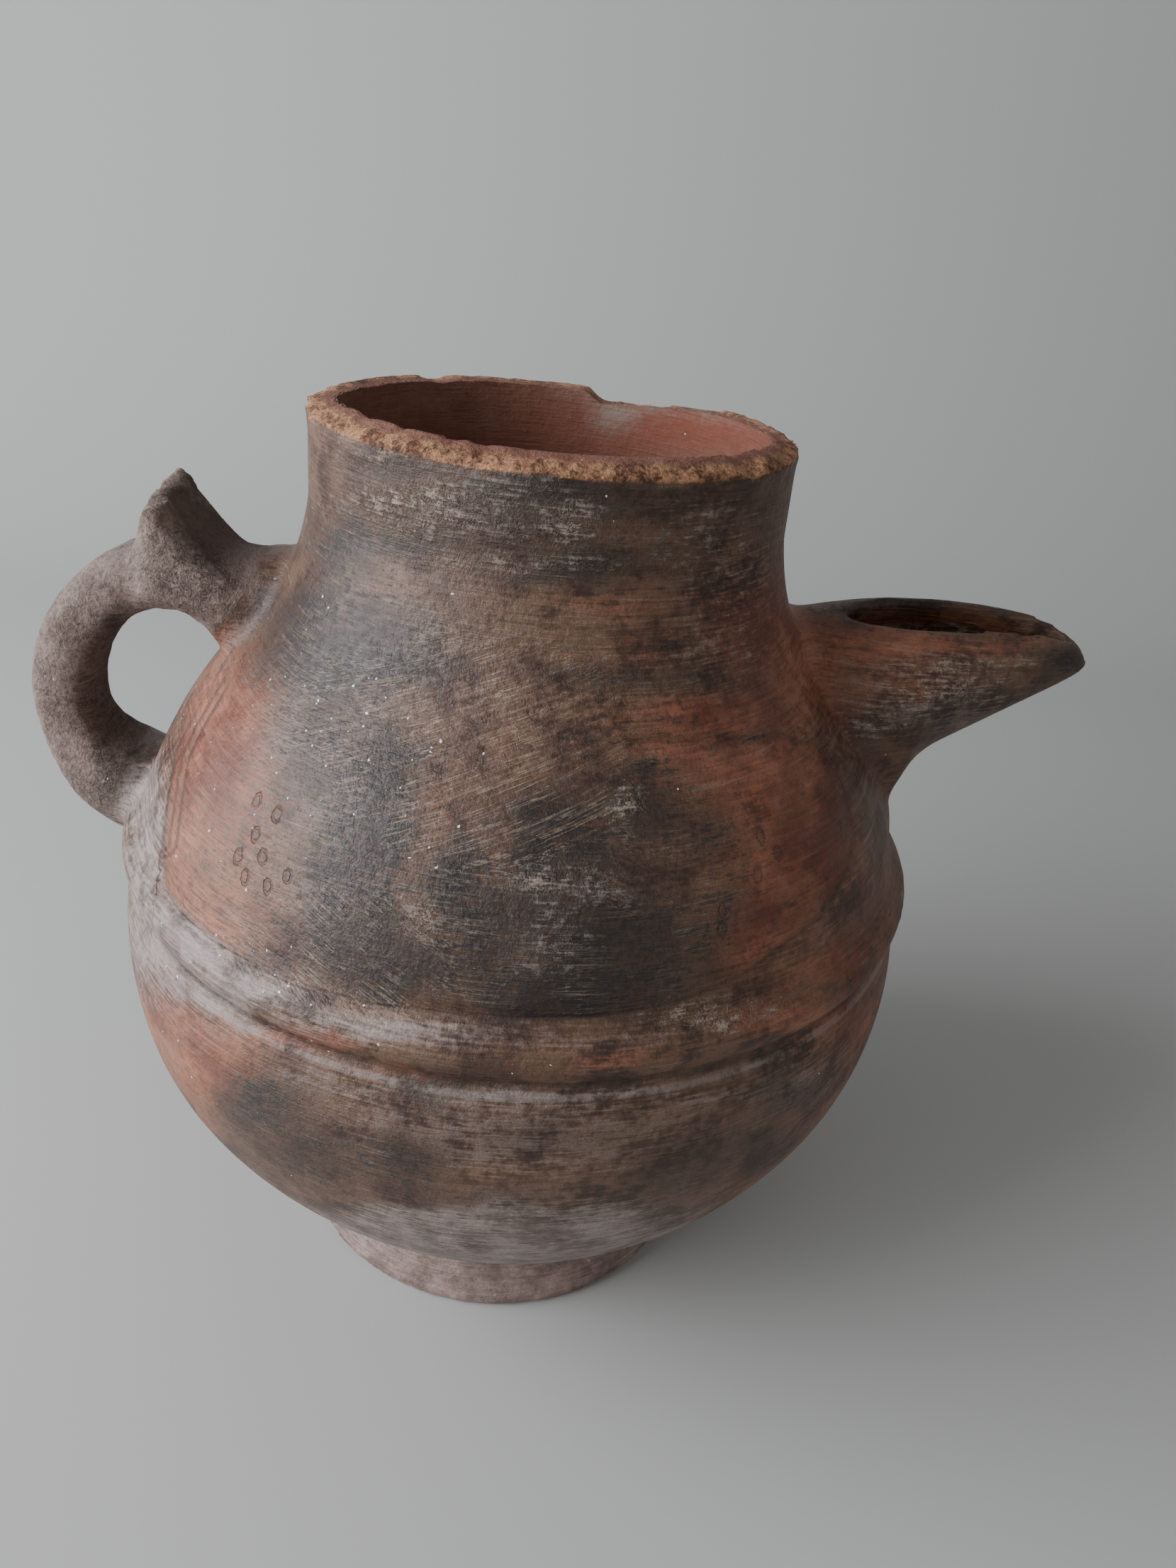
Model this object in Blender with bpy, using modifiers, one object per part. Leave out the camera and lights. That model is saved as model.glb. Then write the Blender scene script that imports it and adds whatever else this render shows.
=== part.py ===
"""Handmade terracotta jug: one fired piece, hollow and open at the mouth and along the spout.

The body is turned about Z and stands on its flat foot, whose centre is the origin.
The handle is on -X and the spout on +X. A broad belt runs round the widest part, and a
buttress joins it to the root of the spout. The stub of a lost strap stands on the handle.
Lengths are in metres.
"""

import math

import bmesh
import bpy
from mathutils import Vector

MM = 0.001

# Turned body; the dome, the belt, the bowl, the handle and the spout follow its radius
BODY_RADIUS = 97.0 * MM
RIM_HEIGHT = 222.0 * MM
NECK_RADIUS = 53.3 * MM
NECK_LENGTH = 22.0 * MM
NECK_SPREAD = 5.0 * MM
DOME_RADIUS = BODY_RADIUS - 1.0 * MM
DOME_MIDDLE = 100.0 * MM
DOME_DEPTH = 95.0 * MM
DOME_SHOULDER = 166.0 * MM
WALL = 6.0 * MM
TURNS = 60

# Belt round the widest part
BELT_RADIUS = BODY_RADIUS
BELT_LOW = 113.8 * MM
BELT_TALL = 13.2 * MM
BELT_RISE = 5.4 * MM
BELT_STEP = 2.0 * MM

# Bowl below the belt
BOWL_RADIUS = BODY_RADIUS + 0.4 * MM
BOWL_MIDDLE = 95.0 * MM
BOWL_DEPTH = 84.0 * MM

# Foot
FOOT_RADIUS = 54.3 * MM
FOOT_HEIGHT = 18.5 * MM
FOOT_WAIST = 50.4 * MM
FOOT_EDGE = 1.4 * MM
FLOOR = 9.0 * MM

# Broken lip: the outer edge is lost, deepest in front, with a notch at the back
LIP_FLARE = 0.6 * MM
LIP_LOSS_FRONT = 3.6 * MM
LIP_LOSS_BACK = 1.2 * MM
LIP_WAVE = 0.7 * MM
LIP_SAG = 1.9 * MM
NOTCH_ANGLE = math.radians(77.0)
NOTCH_WIDTH = 20.0 * MM
NOTCH_DEPTH = 3.2 * MM

# Two broad panels swell in front and at the back, and a buttress runs up to the spout
PANEL_RISE = 2.6 * MM
BUTTRESS_RISE = 2.8 * MM
BUTTRESS_WIDTH = 40.0 * MM

# Handle: a strap on an arc that leans outwards at the bottom
HANDLE_REACH = BODY_RADIUS + 15.2 * MM
HANDLE_MIDDLE = 149.0 * MM
HANDLE_DROP = 28.5 * MM
HANDLE_BOW = 26.0 * MM
HANDLE_LEAN = math.radians(7.0)
HANDLE_START = math.radians(-68.0)
HANDLE_END = math.radians(95.0)
HANDLE_THICK = 14.8 * MM
HANDLE_WIDTH = 20.0 * MM
HANDLE_ROOT_WIDTH = 31.0 * MM
HANDLE_ROOT_THICK = 18.0 * MM
HANDLE_WEB = 20.0 * MM
HANDLE_SADDLE = 1.0 * MM

# Stub of the lost strap on top of the handle
STUB_TOP = 198.0 * MM
STUB_REACH = HANDLE_REACH - HANDLE_BOW
STUB_ROOT_WIDTH = 31.0 * MM
STUB_TIP_WIDTH = 25.0 * MM
STUB_TIP_THICK = 4.6 * MM
STUB_LEAN = 7.0 * MM
STUB_SWEEP = 23.0 * MM
STUB_HOLLOW = 1.45
STUB_BREAK = 4.0 * MM

# Spout: a beak with a slot along its top
SPOUT_REACH = BODY_RADIUS + 36.2 * MM
SPOUT_TOP = 184.2 * MM
SPOUT_TOP_REACH = BODY_RADIUS + 9.0 * MM
SPOUT_TIP_HEIGHT = 171.8 * MM
SPOUT_TIP_SIZE = 2.8 * MM
SPOUT_SLOPE = 0.645
SPOUT_KEEL = 0.3
SPOUT_TILT = 0.15
SPOUT_UNDER_FILLET = 20.0 * MM
SPOUT_ROOT_REACH = BODY_RADIUS - 6.2 * MM
SPOUT_HALF_WIDTH = 17.0 * MM
SPOUT_SPREAD = 0.45
SPOUT_WALL = 4.0 * MM
CHANNEL_START = NECK_RADIUS + 4.7 * MM
CHANNEL_SQUEEZE = 0.55
SLOT_START = NECK_RADIUS + 19.7 * MM
SLOT_WIDTH = 15.0 * MM

CLAY = (0.33, 0.17, 0.11, 1.0)


def clear_scene():
    for thing in list(bpy.data.objects):
        bpy.data.objects.remove(thing, do_unlink=True)


def make_collection(name):
    made = bpy.data.collections.new(name)
    bpy.context.scene.collection.children.link(made)
    return made


def make_clay():
    clay = bpy.data.materials.new("terracotta")
    clay.use_nodes = True
    shader = clay.node_tree.nodes["Principled BSDF"]
    shader.inputs["Base Color"].default_value = CLAY
    shader.inputs["Roughness"].default_value = 0.72
    shader.inputs["Metallic"].default_value = 0.0
    return clay


def smooth(value):
    """Ease from 0 to 1."""
    t = min(max(value, 0.0), 1.0)
    return t * t * (3.0 - 2.0 * t)


def mix(a, b, t):
    return a + (b - a) * t


def bowl_radius(z):
    """Outer radius of the bowl: an ellipse about its middle height."""
    share = (BOWL_MIDDLE - z) / BOWL_DEPTH
    return BOWL_RADIUS * math.sqrt(max(1.0 - share * share, 0.0))


def bowl_height(radius):
    share = radius / BOWL_RADIUS
    return BOWL_MIDDLE - BOWL_DEPTH * math.sqrt(1.0 - share * share)


def ellipse_radius(z):
    share = (z - DOME_MIDDLE) / DOME_DEPTH
    return DOME_RADIUS * math.sqrt(max(1.0 - share * share, 0.0))


def dome_radius(z):
    """Outer radius above the belt: an ellipse, then a hollow curve up into the neck."""
    if z <= DOME_SHOULDER:
        return ellipse_radius(z)
    top = RIM_HEIGHT - NECK_LENGTH
    tall = top - DOME_SHOULDER
    t = min(max((top - z) / tall, 0.0), 1.0)
    step = tall * 0.01
    slope = (ellipse_radius(DOME_SHOULDER - step) - ellipse_radius(DOME_SHOULDER)) / step
    curve = (2 * t**3 - 3 * t**2 + 1) * NECK_RADIUS + (t**3 - 2 * t**2 + t) * NECK_SPREAD
    return curve + (3 * t**2 - 2 * t**3) * ellipse_radius(DOME_SHOULDER) + (t**3 - t**2) * slope * tall


def dome_points(steps):
    """The neck's foot, the fillet and the dome, down to the belt's top edge."""
    top = RIM_HEIGHT - NECK_LENGTH
    low = BELT_LOW + BELT_TALL
    heights = [mix(top, low, i / steps) for i in range(steps)]
    return [(dome_radius(z), z) for z in heights]


def belt_points(steps):
    """A rounded band with a sharp step below it."""
    base = BELT_RADIUS - BELT_RISE
    top = BELT_LOW + BELT_TALL
    points = [(base, top)]
    for i in range(1, steps):
        t = i / steps
        swell = math.sin(math.pi * t**1.25)
        floor = mix(base, BELT_RADIUS - BELT_STEP, t)
        points.append((max(mix(floor, BELT_RADIUS, swell), floor), mix(top, BELT_LOW, t)))
    points.append((BELT_RADIUS - BELT_STEP, BELT_LOW))
    return points


def bowl_points(steps):
    """The bowl from the groove under the belt down to the waist of the foot."""
    waist_z = bowl_height(FOOT_WAIST + WALL)
    points = [(bowl_radius(BELT_LOW - BELT_STEP), BELT_LOW - BELT_STEP)]
    for i in range(1, steps + 1):
        z = mix(BELT_LOW - BELT_STEP, waist_z, (i / steps) ** 0.8)
        points.append((bowl_radius(z), z))
    return points


def foot_points():
    return [(FOOT_WAIST, FOOT_HEIGHT),
            (mix(FOOT_WAIST, FOOT_RADIUS, 0.3), FOOT_HEIGHT * 0.55),
            (FOOT_RADIUS, FOOT_EDGE * 2.0),
            (FOOT_RADIUS - FOOT_EDGE * 0.3, FOOT_EDGE * 0.5),
            (FOOT_RADIUS - FOOT_EDGE, 0.0)]


def neck_points():
    return [(NECK_RADIUS + LIP_FLARE, RIM_HEIGHT - LIP_LOSS_BACK),
            (NECK_RADIUS + LIP_FLARE, RIM_HEIGHT - LIP_LOSS_FRONT - LIP_WAVE * 2.0 - LIP_SAG),
            (NECK_RADIUS, RIM_HEIGHT - NECK_LENGTH * 0.5)]


def offset_line(points, distance):
    """Points of a line moved to its inner side by the wall's thickness."""
    moved = []
    for i, (r, z) in enumerate(points):
        r0, z0 = points[max(i - 1, 0)]
        r1, z1 = points[min(i + 1, len(points) - 1)]
        length = math.hypot(r1 - r0, z1 - z0)
        moved.append((r + (z1 - z0) / length * distance, z - (r1 - r0) / length * distance))
    return moved


def outside_line():
    """Outer profile from the lip down to the underside's centre."""
    inner = NECK_RADIUS - WALL * 1.06
    rim = [(0.0, RIM_HEIGHT - WALL), (inner, RIM_HEIGHT - WALL), (inner, RIM_HEIGHT)]
    line = neck_points() + dome_points(14) + belt_points(6)
    return rim + line + bowl_points(12) + foot_points() + [(0.0, 0.0)]


def inside_line():
    """Profile of the hollow, which runs past the mouth so that it cuts the lip open."""
    plain = [(NECK_RADIUS, RIM_HEIGHT), (NECK_RADIUS, RIM_HEIGHT - NECK_LENGTH * 0.7)]
    plain += dome_points(8)
    plain += [(BOWL_RADIUS, BELT_LOW)] + bowl_points(8) + [(FOOT_WAIST, FOOT_HEIGHT)]
    line = offset_line(plain, WALL)
    above = RIM_HEIGHT + WALL
    line[0] = (NECK_RADIUS - WALL, above)
    floor_r = FOOT_WAIST - WALL
    line[-1] = (floor_r, FOOT_HEIGHT)
    return [(0.0, above)] + line + [(floor_r - WALL * 0.5, FLOOR), (0.0, FLOOR)]


def add_mesh(name, mesh, home):
    made = bpy.data.objects.new(name, mesh)
    home.objects.link(made)
    return made


def turn(name, line, steps, home):
    """A closed body turned about Z from a profile that runs down its outer side."""
    mesh = bpy.data.meshes.new(name)
    bm = bmesh.new()
    knots = [bm.verts.new((r, 0.0, z)) for r, z in line]
    for a, b in zip(knots, knots[1:]):
        bm.edges.new((a, b))
    bm.to_mesh(mesh)
    bm.free()
    made = add_mesh(name, mesh, home)
    screw = made.modifiers.new("turned", "SCREW")
    screw.axis = "Z"
    screw.steps = steps
    screw.render_steps = steps
    screw.use_merge_vertices = True
    screw.merge_threshold = 0.00001
    return made


def settle(thing):
    """Replace an object's mesh by its evaluated one."""
    scene_graph = bpy.context.evaluated_depsgraph_get()
    mesh = bpy.data.meshes.new_from_object(thing.evaluated_get(scene_graph))
    thing.modifiers.clear()
    thing.data = mesh
    return thing


def lip_loss(angle):
    """How far the lip's outer edge has broken down at an angle round the mouth."""
    front = smooth(0.5 - 0.9 * math.sin(angle))
    wave = LIP_WAVE * math.sin(9.0 * angle) * math.cos(4.0 * angle)
    return mix(LIP_LOSS_BACK, LIP_LOSS_FRONT, front) + wave


def notch(angle):
    """Depth of the notch in the back of the lip."""
    away = abs(angle - NOTCH_ANGLE) * NECK_RADIUS
    return NOTCH_DEPTH * smooth(1.6 * (1.0 - away / (NOTCH_WIDTH * 0.5)))


def swelling(angle, z):
    """Relief of the upper wall: two broad panels and the buttress of the spout."""
    low = BELT_LOW + BELT_TALL
    height = (z - low) / (RIM_HEIGHT - NECK_LENGTH - low)
    if height < 0.0 or height > 1.0:
        return 0.0
    panel = smooth((abs(math.sin(angle)) - 0.3) / 0.45)
    across = abs(math.atan2(math.sin(angle), math.cos(angle))) * DOME_RADIUS
    spread = smooth(1.0 - across / (BUTTRESS_WIDTH * 0.5))
    ridge = BUTTRESS_RISE * spread * smooth((height + 0.1) / 0.2) * smooth(1.0 - height / 0.5)
    return PANEL_RISE * panel * math.sin(math.pi * height) + ridge


def shape_body(body):
    """Break the lip and swell the wall, point by point, on the turned mesh."""
    bm = bmesh.new()
    bm.from_mesh(body.data)
    for vert in bm.verts:
        radius = math.hypot(vert.co.x, vert.co.y)
        angle = math.atan2(vert.co.y, vert.co.x)
        if radius < NECK_RADIUS * 0.5:
            continue
        if vert.co.z > RIM_HEIGHT - LIP_LOSS_BACK * 1.5:
            loss = notch(angle) + LIP_SAG * smooth(0.62 + 0.75 * math.sin(angle))
            if radius > NECK_RADIUS:
                loss += lip_loss(angle) - LIP_LOSS_BACK
            vert.co.z -= loss
        grown = (radius + swelling(angle, vert.co.z)) / radius
        vert.co.x *= grown
        vert.co.y *= grown
    bm.to_mesh(body.data)
    bm.free()


def loft(name, rings, home):
    """A closed body through rings of equal count, capped at both ends."""
    bm = bmesh.new()
    rows = [[bm.verts.new(point) for point in ring] for ring in rings]
    for row, after in zip(rows, rows[1:]):
        for i in range(len(row)):
            j = (i + 1) % len(row)
            bm.faces.new((row[i], row[j], after[j], after[i]))
    bm.faces.new(list(reversed(rows[0])))
    bm.faces.new(rows[-1])
    bmesh.ops.recalc_face_normals(bm, faces=bm.faces[:])
    bmesh.ops.triangulate(bm, faces=[f for f in bm.faces if len(f.verts) > 4])
    mesh = bpy.data.meshes.new(name)
    bm.to_mesh(mesh)
    bm.free()
    return add_mesh(name, mesh, home)


def rounded(count, power):
    """Unit ring between an ellipse, power 1, and a box: pairs of signed shares."""
    ring = []
    for i in range(count):
        t = 2.0 * math.pi * (i + 0.5) / count
        c, s = math.cos(t), math.sin(t)
        ring.append((math.copysign(abs(c) ** power, c), math.copysign(abs(s) ** power, s)))
    return ring


def handle_arc(steps):
    """Centre line of the strap in the XZ plane, from the lower root to the upper."""
    centre = Vector((-(HANDLE_REACH - HANDLE_BOW), 0.0, HANDLE_MIDDLE))
    points = []
    for i in range(steps + 1):
        t = mix(HANDLE_START, HANDLE_END, i / steps)
        z = HANDLE_DROP * math.sin(t)
        x = z * math.tan(HANDLE_LEAN) - HANDLE_BOW * math.cos(t)
        points.append(centre + Vector((x, 0.0, z)))
    return points


def handle_sections():
    """Centre, thickness direction, thickness and width of each section of the strap."""
    arc = handle_arc(13)
    last = len(arc) - 1
    sections = []
    for i, point in enumerate(arc):
        along = (arc[min(i + 1, last)] - arc[max(i - 1, 0)]).normalized()
        across = Vector((along.z, 0.0, -along.x))
        low = smooth(1.0 - i / last / 0.3)
        high = smooth((i / last - 0.7) / 0.3)
        thick = mix(HANDLE_THICK, HANDLE_ROOT_THICK, low)
        width = mix(HANDLE_WIDTH, HANDLE_ROOT_WIDTH, max(low, high))
        sections.append((point, across, thick, width))
    first = sections[0]
    root = Vector((-(BELT_RADIUS - WALL * 1.5), 0.0, BELT_LOW + BELT_TALL * 0.1))
    sections.insert(0, (root, first[1], first[2], first[3]))
    top = arc[-1].z + HANDLE_THICK * 0.5
    for share in (0.3, 0.55, 1.0):
        x = mix(arc[-1].x, -(NECK_RADIUS - WALL * 0.5), share)
        web = HANDLE_WEB * smooth(share / 0.6)
        ridge = top - HANDLE_SADDLE * smooth(share / 0.5)
        thick = HANDLE_THICK - HANDLE_SADDLE * smooth(share / 0.5) + web
        sections.append((Vector((x, 0.0, ridge - thick / 2)), Vector((0.0, 0.0, -1.0)), thick,
                         HANDLE_ROOT_WIDTH))
    return sections


def make_handle(home):
    shape = rounded(14, 0.72)
    rings = []
    for centre, across, thick, width in handle_sections():
        rings.append([centre + across * (u * thick / 2) + Vector((0.0, v * width / 2, 0.0))
                      for u, v in shape])
    return loft("handle", rings, home)


def make_stub(home):
    """The stub leans out from the handle's back, with a hollow face towards the neck."""
    low = HANDLE_MIDDLE + HANDLE_DROP - HANDLE_THICK * 0.2
    shape = rounded(12, 0.6)
    rings = []
    steps = 7
    for i in range(steps + 1):
        t = i / steps
        outer = -(STUB_REACH + STUB_TIP_THICK / 2 + STUB_LEAN * (1.0 - t))
        inner = -(STUB_REACH - STUB_TIP_THICK / 2 - STUB_SWEEP * (1.0 - t) ** STUB_HOLLOW)
        width = mix(STUB_ROOT_WIDTH, STUB_TIP_WIDTH, t)
        middle, thick = (outer + inner) / 2, inner - outer
        z = mix(low, STUB_TOP, t)
        rings.append([Vector((middle + u * thick / 2, v * width / 2,
                              z - STUB_BREAK * t * (1.0 - v) / 2)) for u, v in shape])
    return loft("stub", rings, home)


def spout_under(x):
    """Height of the keel: a straight slope with a fillet that turns down onto the body."""
    slope = math.atan(SPOUT_SLOPE)
    line = SPOUT_TIP_HEIGHT - (SPOUT_REACH - x) * SPOUT_SLOPE
    meet = SPOUT_ROOT_REACH + SPOUT_UNDER_FILLET * (1.0 - math.sin(slope))
    if x >= meet:
        return line
    meet_z = SPOUT_TIP_HEIGHT - (SPOUT_REACH - meet) * SPOUT_SLOPE
    centre_z = meet_z - SPOUT_UNDER_FILLET * math.cos(slope)
    share = 1.0 - (x - SPOUT_ROOT_REACH) / SPOUT_UNDER_FILLET
    if share >= 1.0:
        return centre_z
    return centre_z + SPOUT_UNDER_FILLET * math.sqrt(1.0 - share * share)


def spout_over(x):
    """Height of the spout's back."""
    tip = SPOUT_TIP_HEIGHT + SPOUT_TIP_SIZE
    if x > SPOUT_TOP_REACH:
        share = (x - SPOUT_TOP_REACH) / (SPOUT_REACH - SPOUT_TOP_REACH)
        return mix(SPOUT_TOP, tip, share * share)
    share = (SPOUT_TOP_REACH - x) / (SPOUT_TOP_REACH - NECK_RADIUS)
    return SPOUT_TOP - SPOUT_TIP_SIZE * 2.6 * share * share


def spout_half(x):
    """Half width of the spout, which spreads again at its root."""
    share = (SPOUT_REACH - x) / (SPOUT_REACH - SPOUT_ROOT_REACH)
    if share <= 1.0:
        return mix(SPOUT_TIP_SIZE / 2, SPOUT_HALF_WIDTH, max(share, 0.0) ** 0.75)
    return SPOUT_HALF_WIDTH + (SPOUT_ROOT_REACH - x) * SPOUT_SPREAD


def spout_ring(x, inset, shape):
    """One section of the spout inset by a wall; at the root its back is narrower."""
    low = spout_under(x) + inset
    high = spout_over(x) - inset
    half = max(spout_half(x) - inset, SPOUT_TIP_SIZE / 8)
    root = smooth((SPOUT_ROOT_REACH - x) / (SPOUT_ROOT_REACH - NECK_RADIUS))
    middle = mix(low, high, 0.52 - 0.12 * root)
    ring = []
    for u, v in shape:
        reach = high - middle if u > 0.0 else middle - low
        narrow = (1.0 - root * 0.5 * (u + 1.0) / 2) * (1.0 + SPOUT_KEEL * min(u, 0.0))
        side = v * half * narrow
        ring.append(Vector((x, side, middle + u * reach + max(u, 0.0) * side * SPOUT_TILT)))
    return ring


def make_spout(home):
    start = NECK_RADIUS - WALL * 0.5
    fine = 12
    shape = rounded(20, 0.86)
    stations = [mix(start, SPOUT_ROOT_REACH, i / 6) for i in range(6)]
    stations += [mix(SPOUT_ROOT_REACH, SPOUT_REACH, (i / fine) ** 1.15) for i in range(fine + 1)]
    return loft("spout", [spout_ring(x, 0.0, shape) for x in stations], home)


def make_channel(home):
    """The hollow of the beak, which slopes down through the wall into the body."""
    end = SPOUT_REACH - SPOUT_WALL * 2.4
    shape = rounded(16, 0.9)
    rings = []
    steps = 11
    for i in range(steps + 1):
        x = mix(CHANNEL_START, end, i / steps)
        ring = spout_ring(max(x, SPOUT_ROOT_REACH + SPOUT_WALL), SPOUT_WALL, shape)
        fall = smooth((SPOUT_ROOT_REACH - x) / (SPOUT_ROOT_REACH - CHANNEL_START))
        low = min(point.z for point in ring)
        squeeze = mix(1.0, CHANNEL_SQUEEZE, fall)
        rings.append([Vector((x, p.y * squeeze, low + (p.z - low) * squeeze)) for p in ring])
    return loft("channel", rings, home)


def make_slot(home):
    """The cutter for the slot, open upwards and pointed at both ends."""
    end = SPOUT_REACH - SPOUT_WALL * 0.9
    steps = 12
    left, right = [], []
    for i in range(steps + 1):
        t = i / steps
        x = mix(SLOT_START, end, t)
        half = SLOT_WIDTH / 2 * (math.sin(math.pi * t ** 0.8) ** 0.6 if 0 < i < steps else 0.06)
        left.append((x, half))
        right.append((x, -half))
    outline = right + left[::-1]
    low = mix(SPOUT_TIP_HEIGHT, SPOUT_TOP, 0.1)
    high = SPOUT_TOP + SPOUT_WALL * 2.0
    rings = [[Vector((x, y, z)) for x, y in outline] for z in (low, high)]
    return loft("slot", rings, home)


def combine(body, other, operation):
    step = body.modifiers.new(other.name, "BOOLEAN")
    step.operation = operation
    step.solver = "EXACT"
    step.object = other
    other.hide_render = True
    other.display_type = "WIRE"


def make_jug():
    clear_scene()
    parts = make_collection("terracotta_jug")
    tools = make_collection("cutters")
    clay = make_clay()
    body = settle(turn("jug", outside_line(), TURNS, parts))
    shape_body(body)
    for extra in (make_handle(tools), make_stub(tools), make_spout(tools)):
        combine(body, extra, "UNION")
    hollow = settle(turn("hollow", inside_line(), TURNS, tools))
    for cutter in (hollow, make_channel(tools), make_slot(tools)):
        combine(body, cutter, "DIFFERENCE")
    body.data.materials.clear()
    body.data.materials.append(clay)
    body.data.shade_smooth()
    body.data.set_sharp_from_angle(angle=math.radians(40.0))
    return body


make_jug()
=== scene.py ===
# A hand-built jug of burnished terracotta with a beak spout, a loop handle and the stump of a lost strap.
# Body, handle, stump and spout are rolled as separate lumps, joined as wet clay is, hollowed, worn, and
# then coloured from listed patches. Sizes in the dictionaries are millimetres.
import math
from functools import partial

import bmesh
import bpy
import numpy as np
from mathutils import Matrix, Vector, noise


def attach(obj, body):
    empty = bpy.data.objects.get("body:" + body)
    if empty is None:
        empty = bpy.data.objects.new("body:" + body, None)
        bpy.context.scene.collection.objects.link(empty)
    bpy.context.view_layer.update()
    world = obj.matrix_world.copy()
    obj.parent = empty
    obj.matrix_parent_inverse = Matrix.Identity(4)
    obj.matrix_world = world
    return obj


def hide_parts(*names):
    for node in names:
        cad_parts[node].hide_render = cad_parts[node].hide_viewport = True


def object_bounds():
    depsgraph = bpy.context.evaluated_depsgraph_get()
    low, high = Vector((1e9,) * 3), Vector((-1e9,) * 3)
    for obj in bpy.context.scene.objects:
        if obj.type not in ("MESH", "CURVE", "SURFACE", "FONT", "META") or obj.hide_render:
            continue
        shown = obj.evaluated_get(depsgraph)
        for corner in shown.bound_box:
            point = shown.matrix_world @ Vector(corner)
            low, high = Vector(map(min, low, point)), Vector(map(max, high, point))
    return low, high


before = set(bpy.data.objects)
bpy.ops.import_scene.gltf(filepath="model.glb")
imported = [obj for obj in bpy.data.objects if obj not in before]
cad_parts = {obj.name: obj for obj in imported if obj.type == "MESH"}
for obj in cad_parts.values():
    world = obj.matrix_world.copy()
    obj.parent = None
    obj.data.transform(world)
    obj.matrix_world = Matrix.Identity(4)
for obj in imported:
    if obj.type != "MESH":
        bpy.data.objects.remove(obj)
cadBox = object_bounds()
mm = 0.001


def ease(value):
    t = np.clip(value, 0.0, 1.0)
    return t * t * (3.0 - 2.0 * t)


def mix(a, b, t):
    return a + (b - a) * t


def wrapAngle(angle):
    return np.arctan2(np.sin(angle), np.cos(angle))


def deselectAll():
    if bpy.context.object and bpy.context.object.mode != "OBJECT":
        bpy.ops.object.mode_set(mode="OBJECT")
    bpy.ops.object.select_all(action="DESELECT")


def makeActive(piece):
    deselectAll()
    piece.select_set(True)
    bpy.context.view_layer.objects.active = piece


def rollTube(name, rings):
    # a grid is laid over the rings, its long edges are merged and both ends are filled
    deselectAll()
    bpy.ops.mesh.primitive_grid_add(x_subdivisions=len(rings[0]), y_subdivisions=len(rings) - 1)
    piece = bpy.context.object
    piece.name = name
    spots = np.array([list(ring) + [ring[0]] for ring in rings], dtype=np.float32) * mm
    piece.data.vertices.foreach_set("co", spots.ravel())
    piece.data.update()
    bpy.ops.object.mode_set(mode="EDIT")
    bpy.ops.mesh.select_all(action="SELECT")
    bpy.ops.mesh.remove_doubles(threshold=0.00001)
    bpy.ops.mesh.fill_holes(sides=0)
    bpy.ops.mesh.normals_make_consistent(inside=False)
    bpy.ops.object.mode_set(mode="OBJECT")
    return piece


def roundSection(count, power):
    # shares from -1 to 1 round a section: an ellipse at power 1, boxier below it
    turn = 2.0 * np.pi * (np.arange(count) + 0.5) / count
    c, s = np.cos(turn), np.sin(turn)
    return np.sign(c) * np.abs(c) ** power, np.sign(s) * np.abs(s) ** power


def useModifier(piece, kind, **settings):
    makeActive(piece)
    step = piece.modifiers.new(kind.title(), kind)
    for key, value in settings.items():
        setattr(step, key, value)
    bpy.ops.object.modifier_apply(modifier=step.name)


def carve(piece, cutter):
    useModifier(piece, "BOOLEAN", operation="DIFFERENCE", solver="EXACT", object=cutter)
    bpy.data.objects.remove(cutter, do_unlink=True)


# The turned body: foot, bowl, belt, dome and neck
body = {
    "rimHeight": 222.0, "neckRadius": 53.3, "neckBottom": 200.0, "neckSpread": 5.0,
    "domeRadius": 96.0, "domeMiddle": 100.0, "domeDepth": 95.0, "shoulder": 166.0,
    "beltRadius": 97.0, "beltLow": 113.8, "beltTall": 13.2, "beltRise": 5.4, "beltStep": 2.0,
    "bowlRadius": 97.4, "bowlMiddle": 95.0, "bowlDepth": 84.0, "bowlFoot": 56.4, "neckTop": 215.0,
    "footRadius": 54.3, "footHeight": 18.5, "footWaist": 50.4,
    "wall": 6.0, "floor": 9.0, "panelRise": 2.6, "buttressRise": 2.8, "buttressWidth": 40.0,
    "ringStep": 2.0, "turns": 180,
}
# The broken lip
lip = {
    "flare": 0.5, "lossFront": 2.7, "lossBack": 0.8, "sag": 1.9, "notchAngle": 77.0, "notchWidth": 46.0,
    "notchDepth": 3.0, "notchStep": 4.0, "innerLoss": 1.6,
}
# Chips in the lip: angle in degrees, width and depth
lipChips = [(200.0, 7.0, 1.1), (222.0, 6.0, 0.9), (247.0, 5.0, 0.6), (318.0, 6.0, 0.7), (128.0, 9.0, 0.8)]


def domeOval(z):
    share = (z - body["domeMiddle"]) / body["domeDepth"]
    return body["domeRadius"] * math.sqrt(max(1.0 - share * share, 0.0))


def domeRadius(z):
    # an oval up to the shoulder, then a hollow curve into the neck
    low, high = body["shoulder"], body["neckBottom"]
    if z <= low:
        return domeOval(z)
    tall = high - low
    t = min(max((high - z) / tall, 0.0), 1.0)
    nudge = 0.3
    slope = (domeOval(low - nudge) - domeOval(low)) / nudge
    neckPart = (2 * t**3 - 3 * t**2 + 1) * body["neckRadius"] + (t**3 - 2 * t**2 + t) * body["neckSpread"]
    return neckPart + (3 * t**2 - 2 * t**3) * domeOval(low) + (t**3 - t**2) * slope * tall


def bowlRadius(z):
    share = (body["bowlMiddle"] - z) / body["bowlDepth"]
    return body["bowlRadius"] * math.sqrt(max(1.0 - share * share, 0.0))


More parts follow.
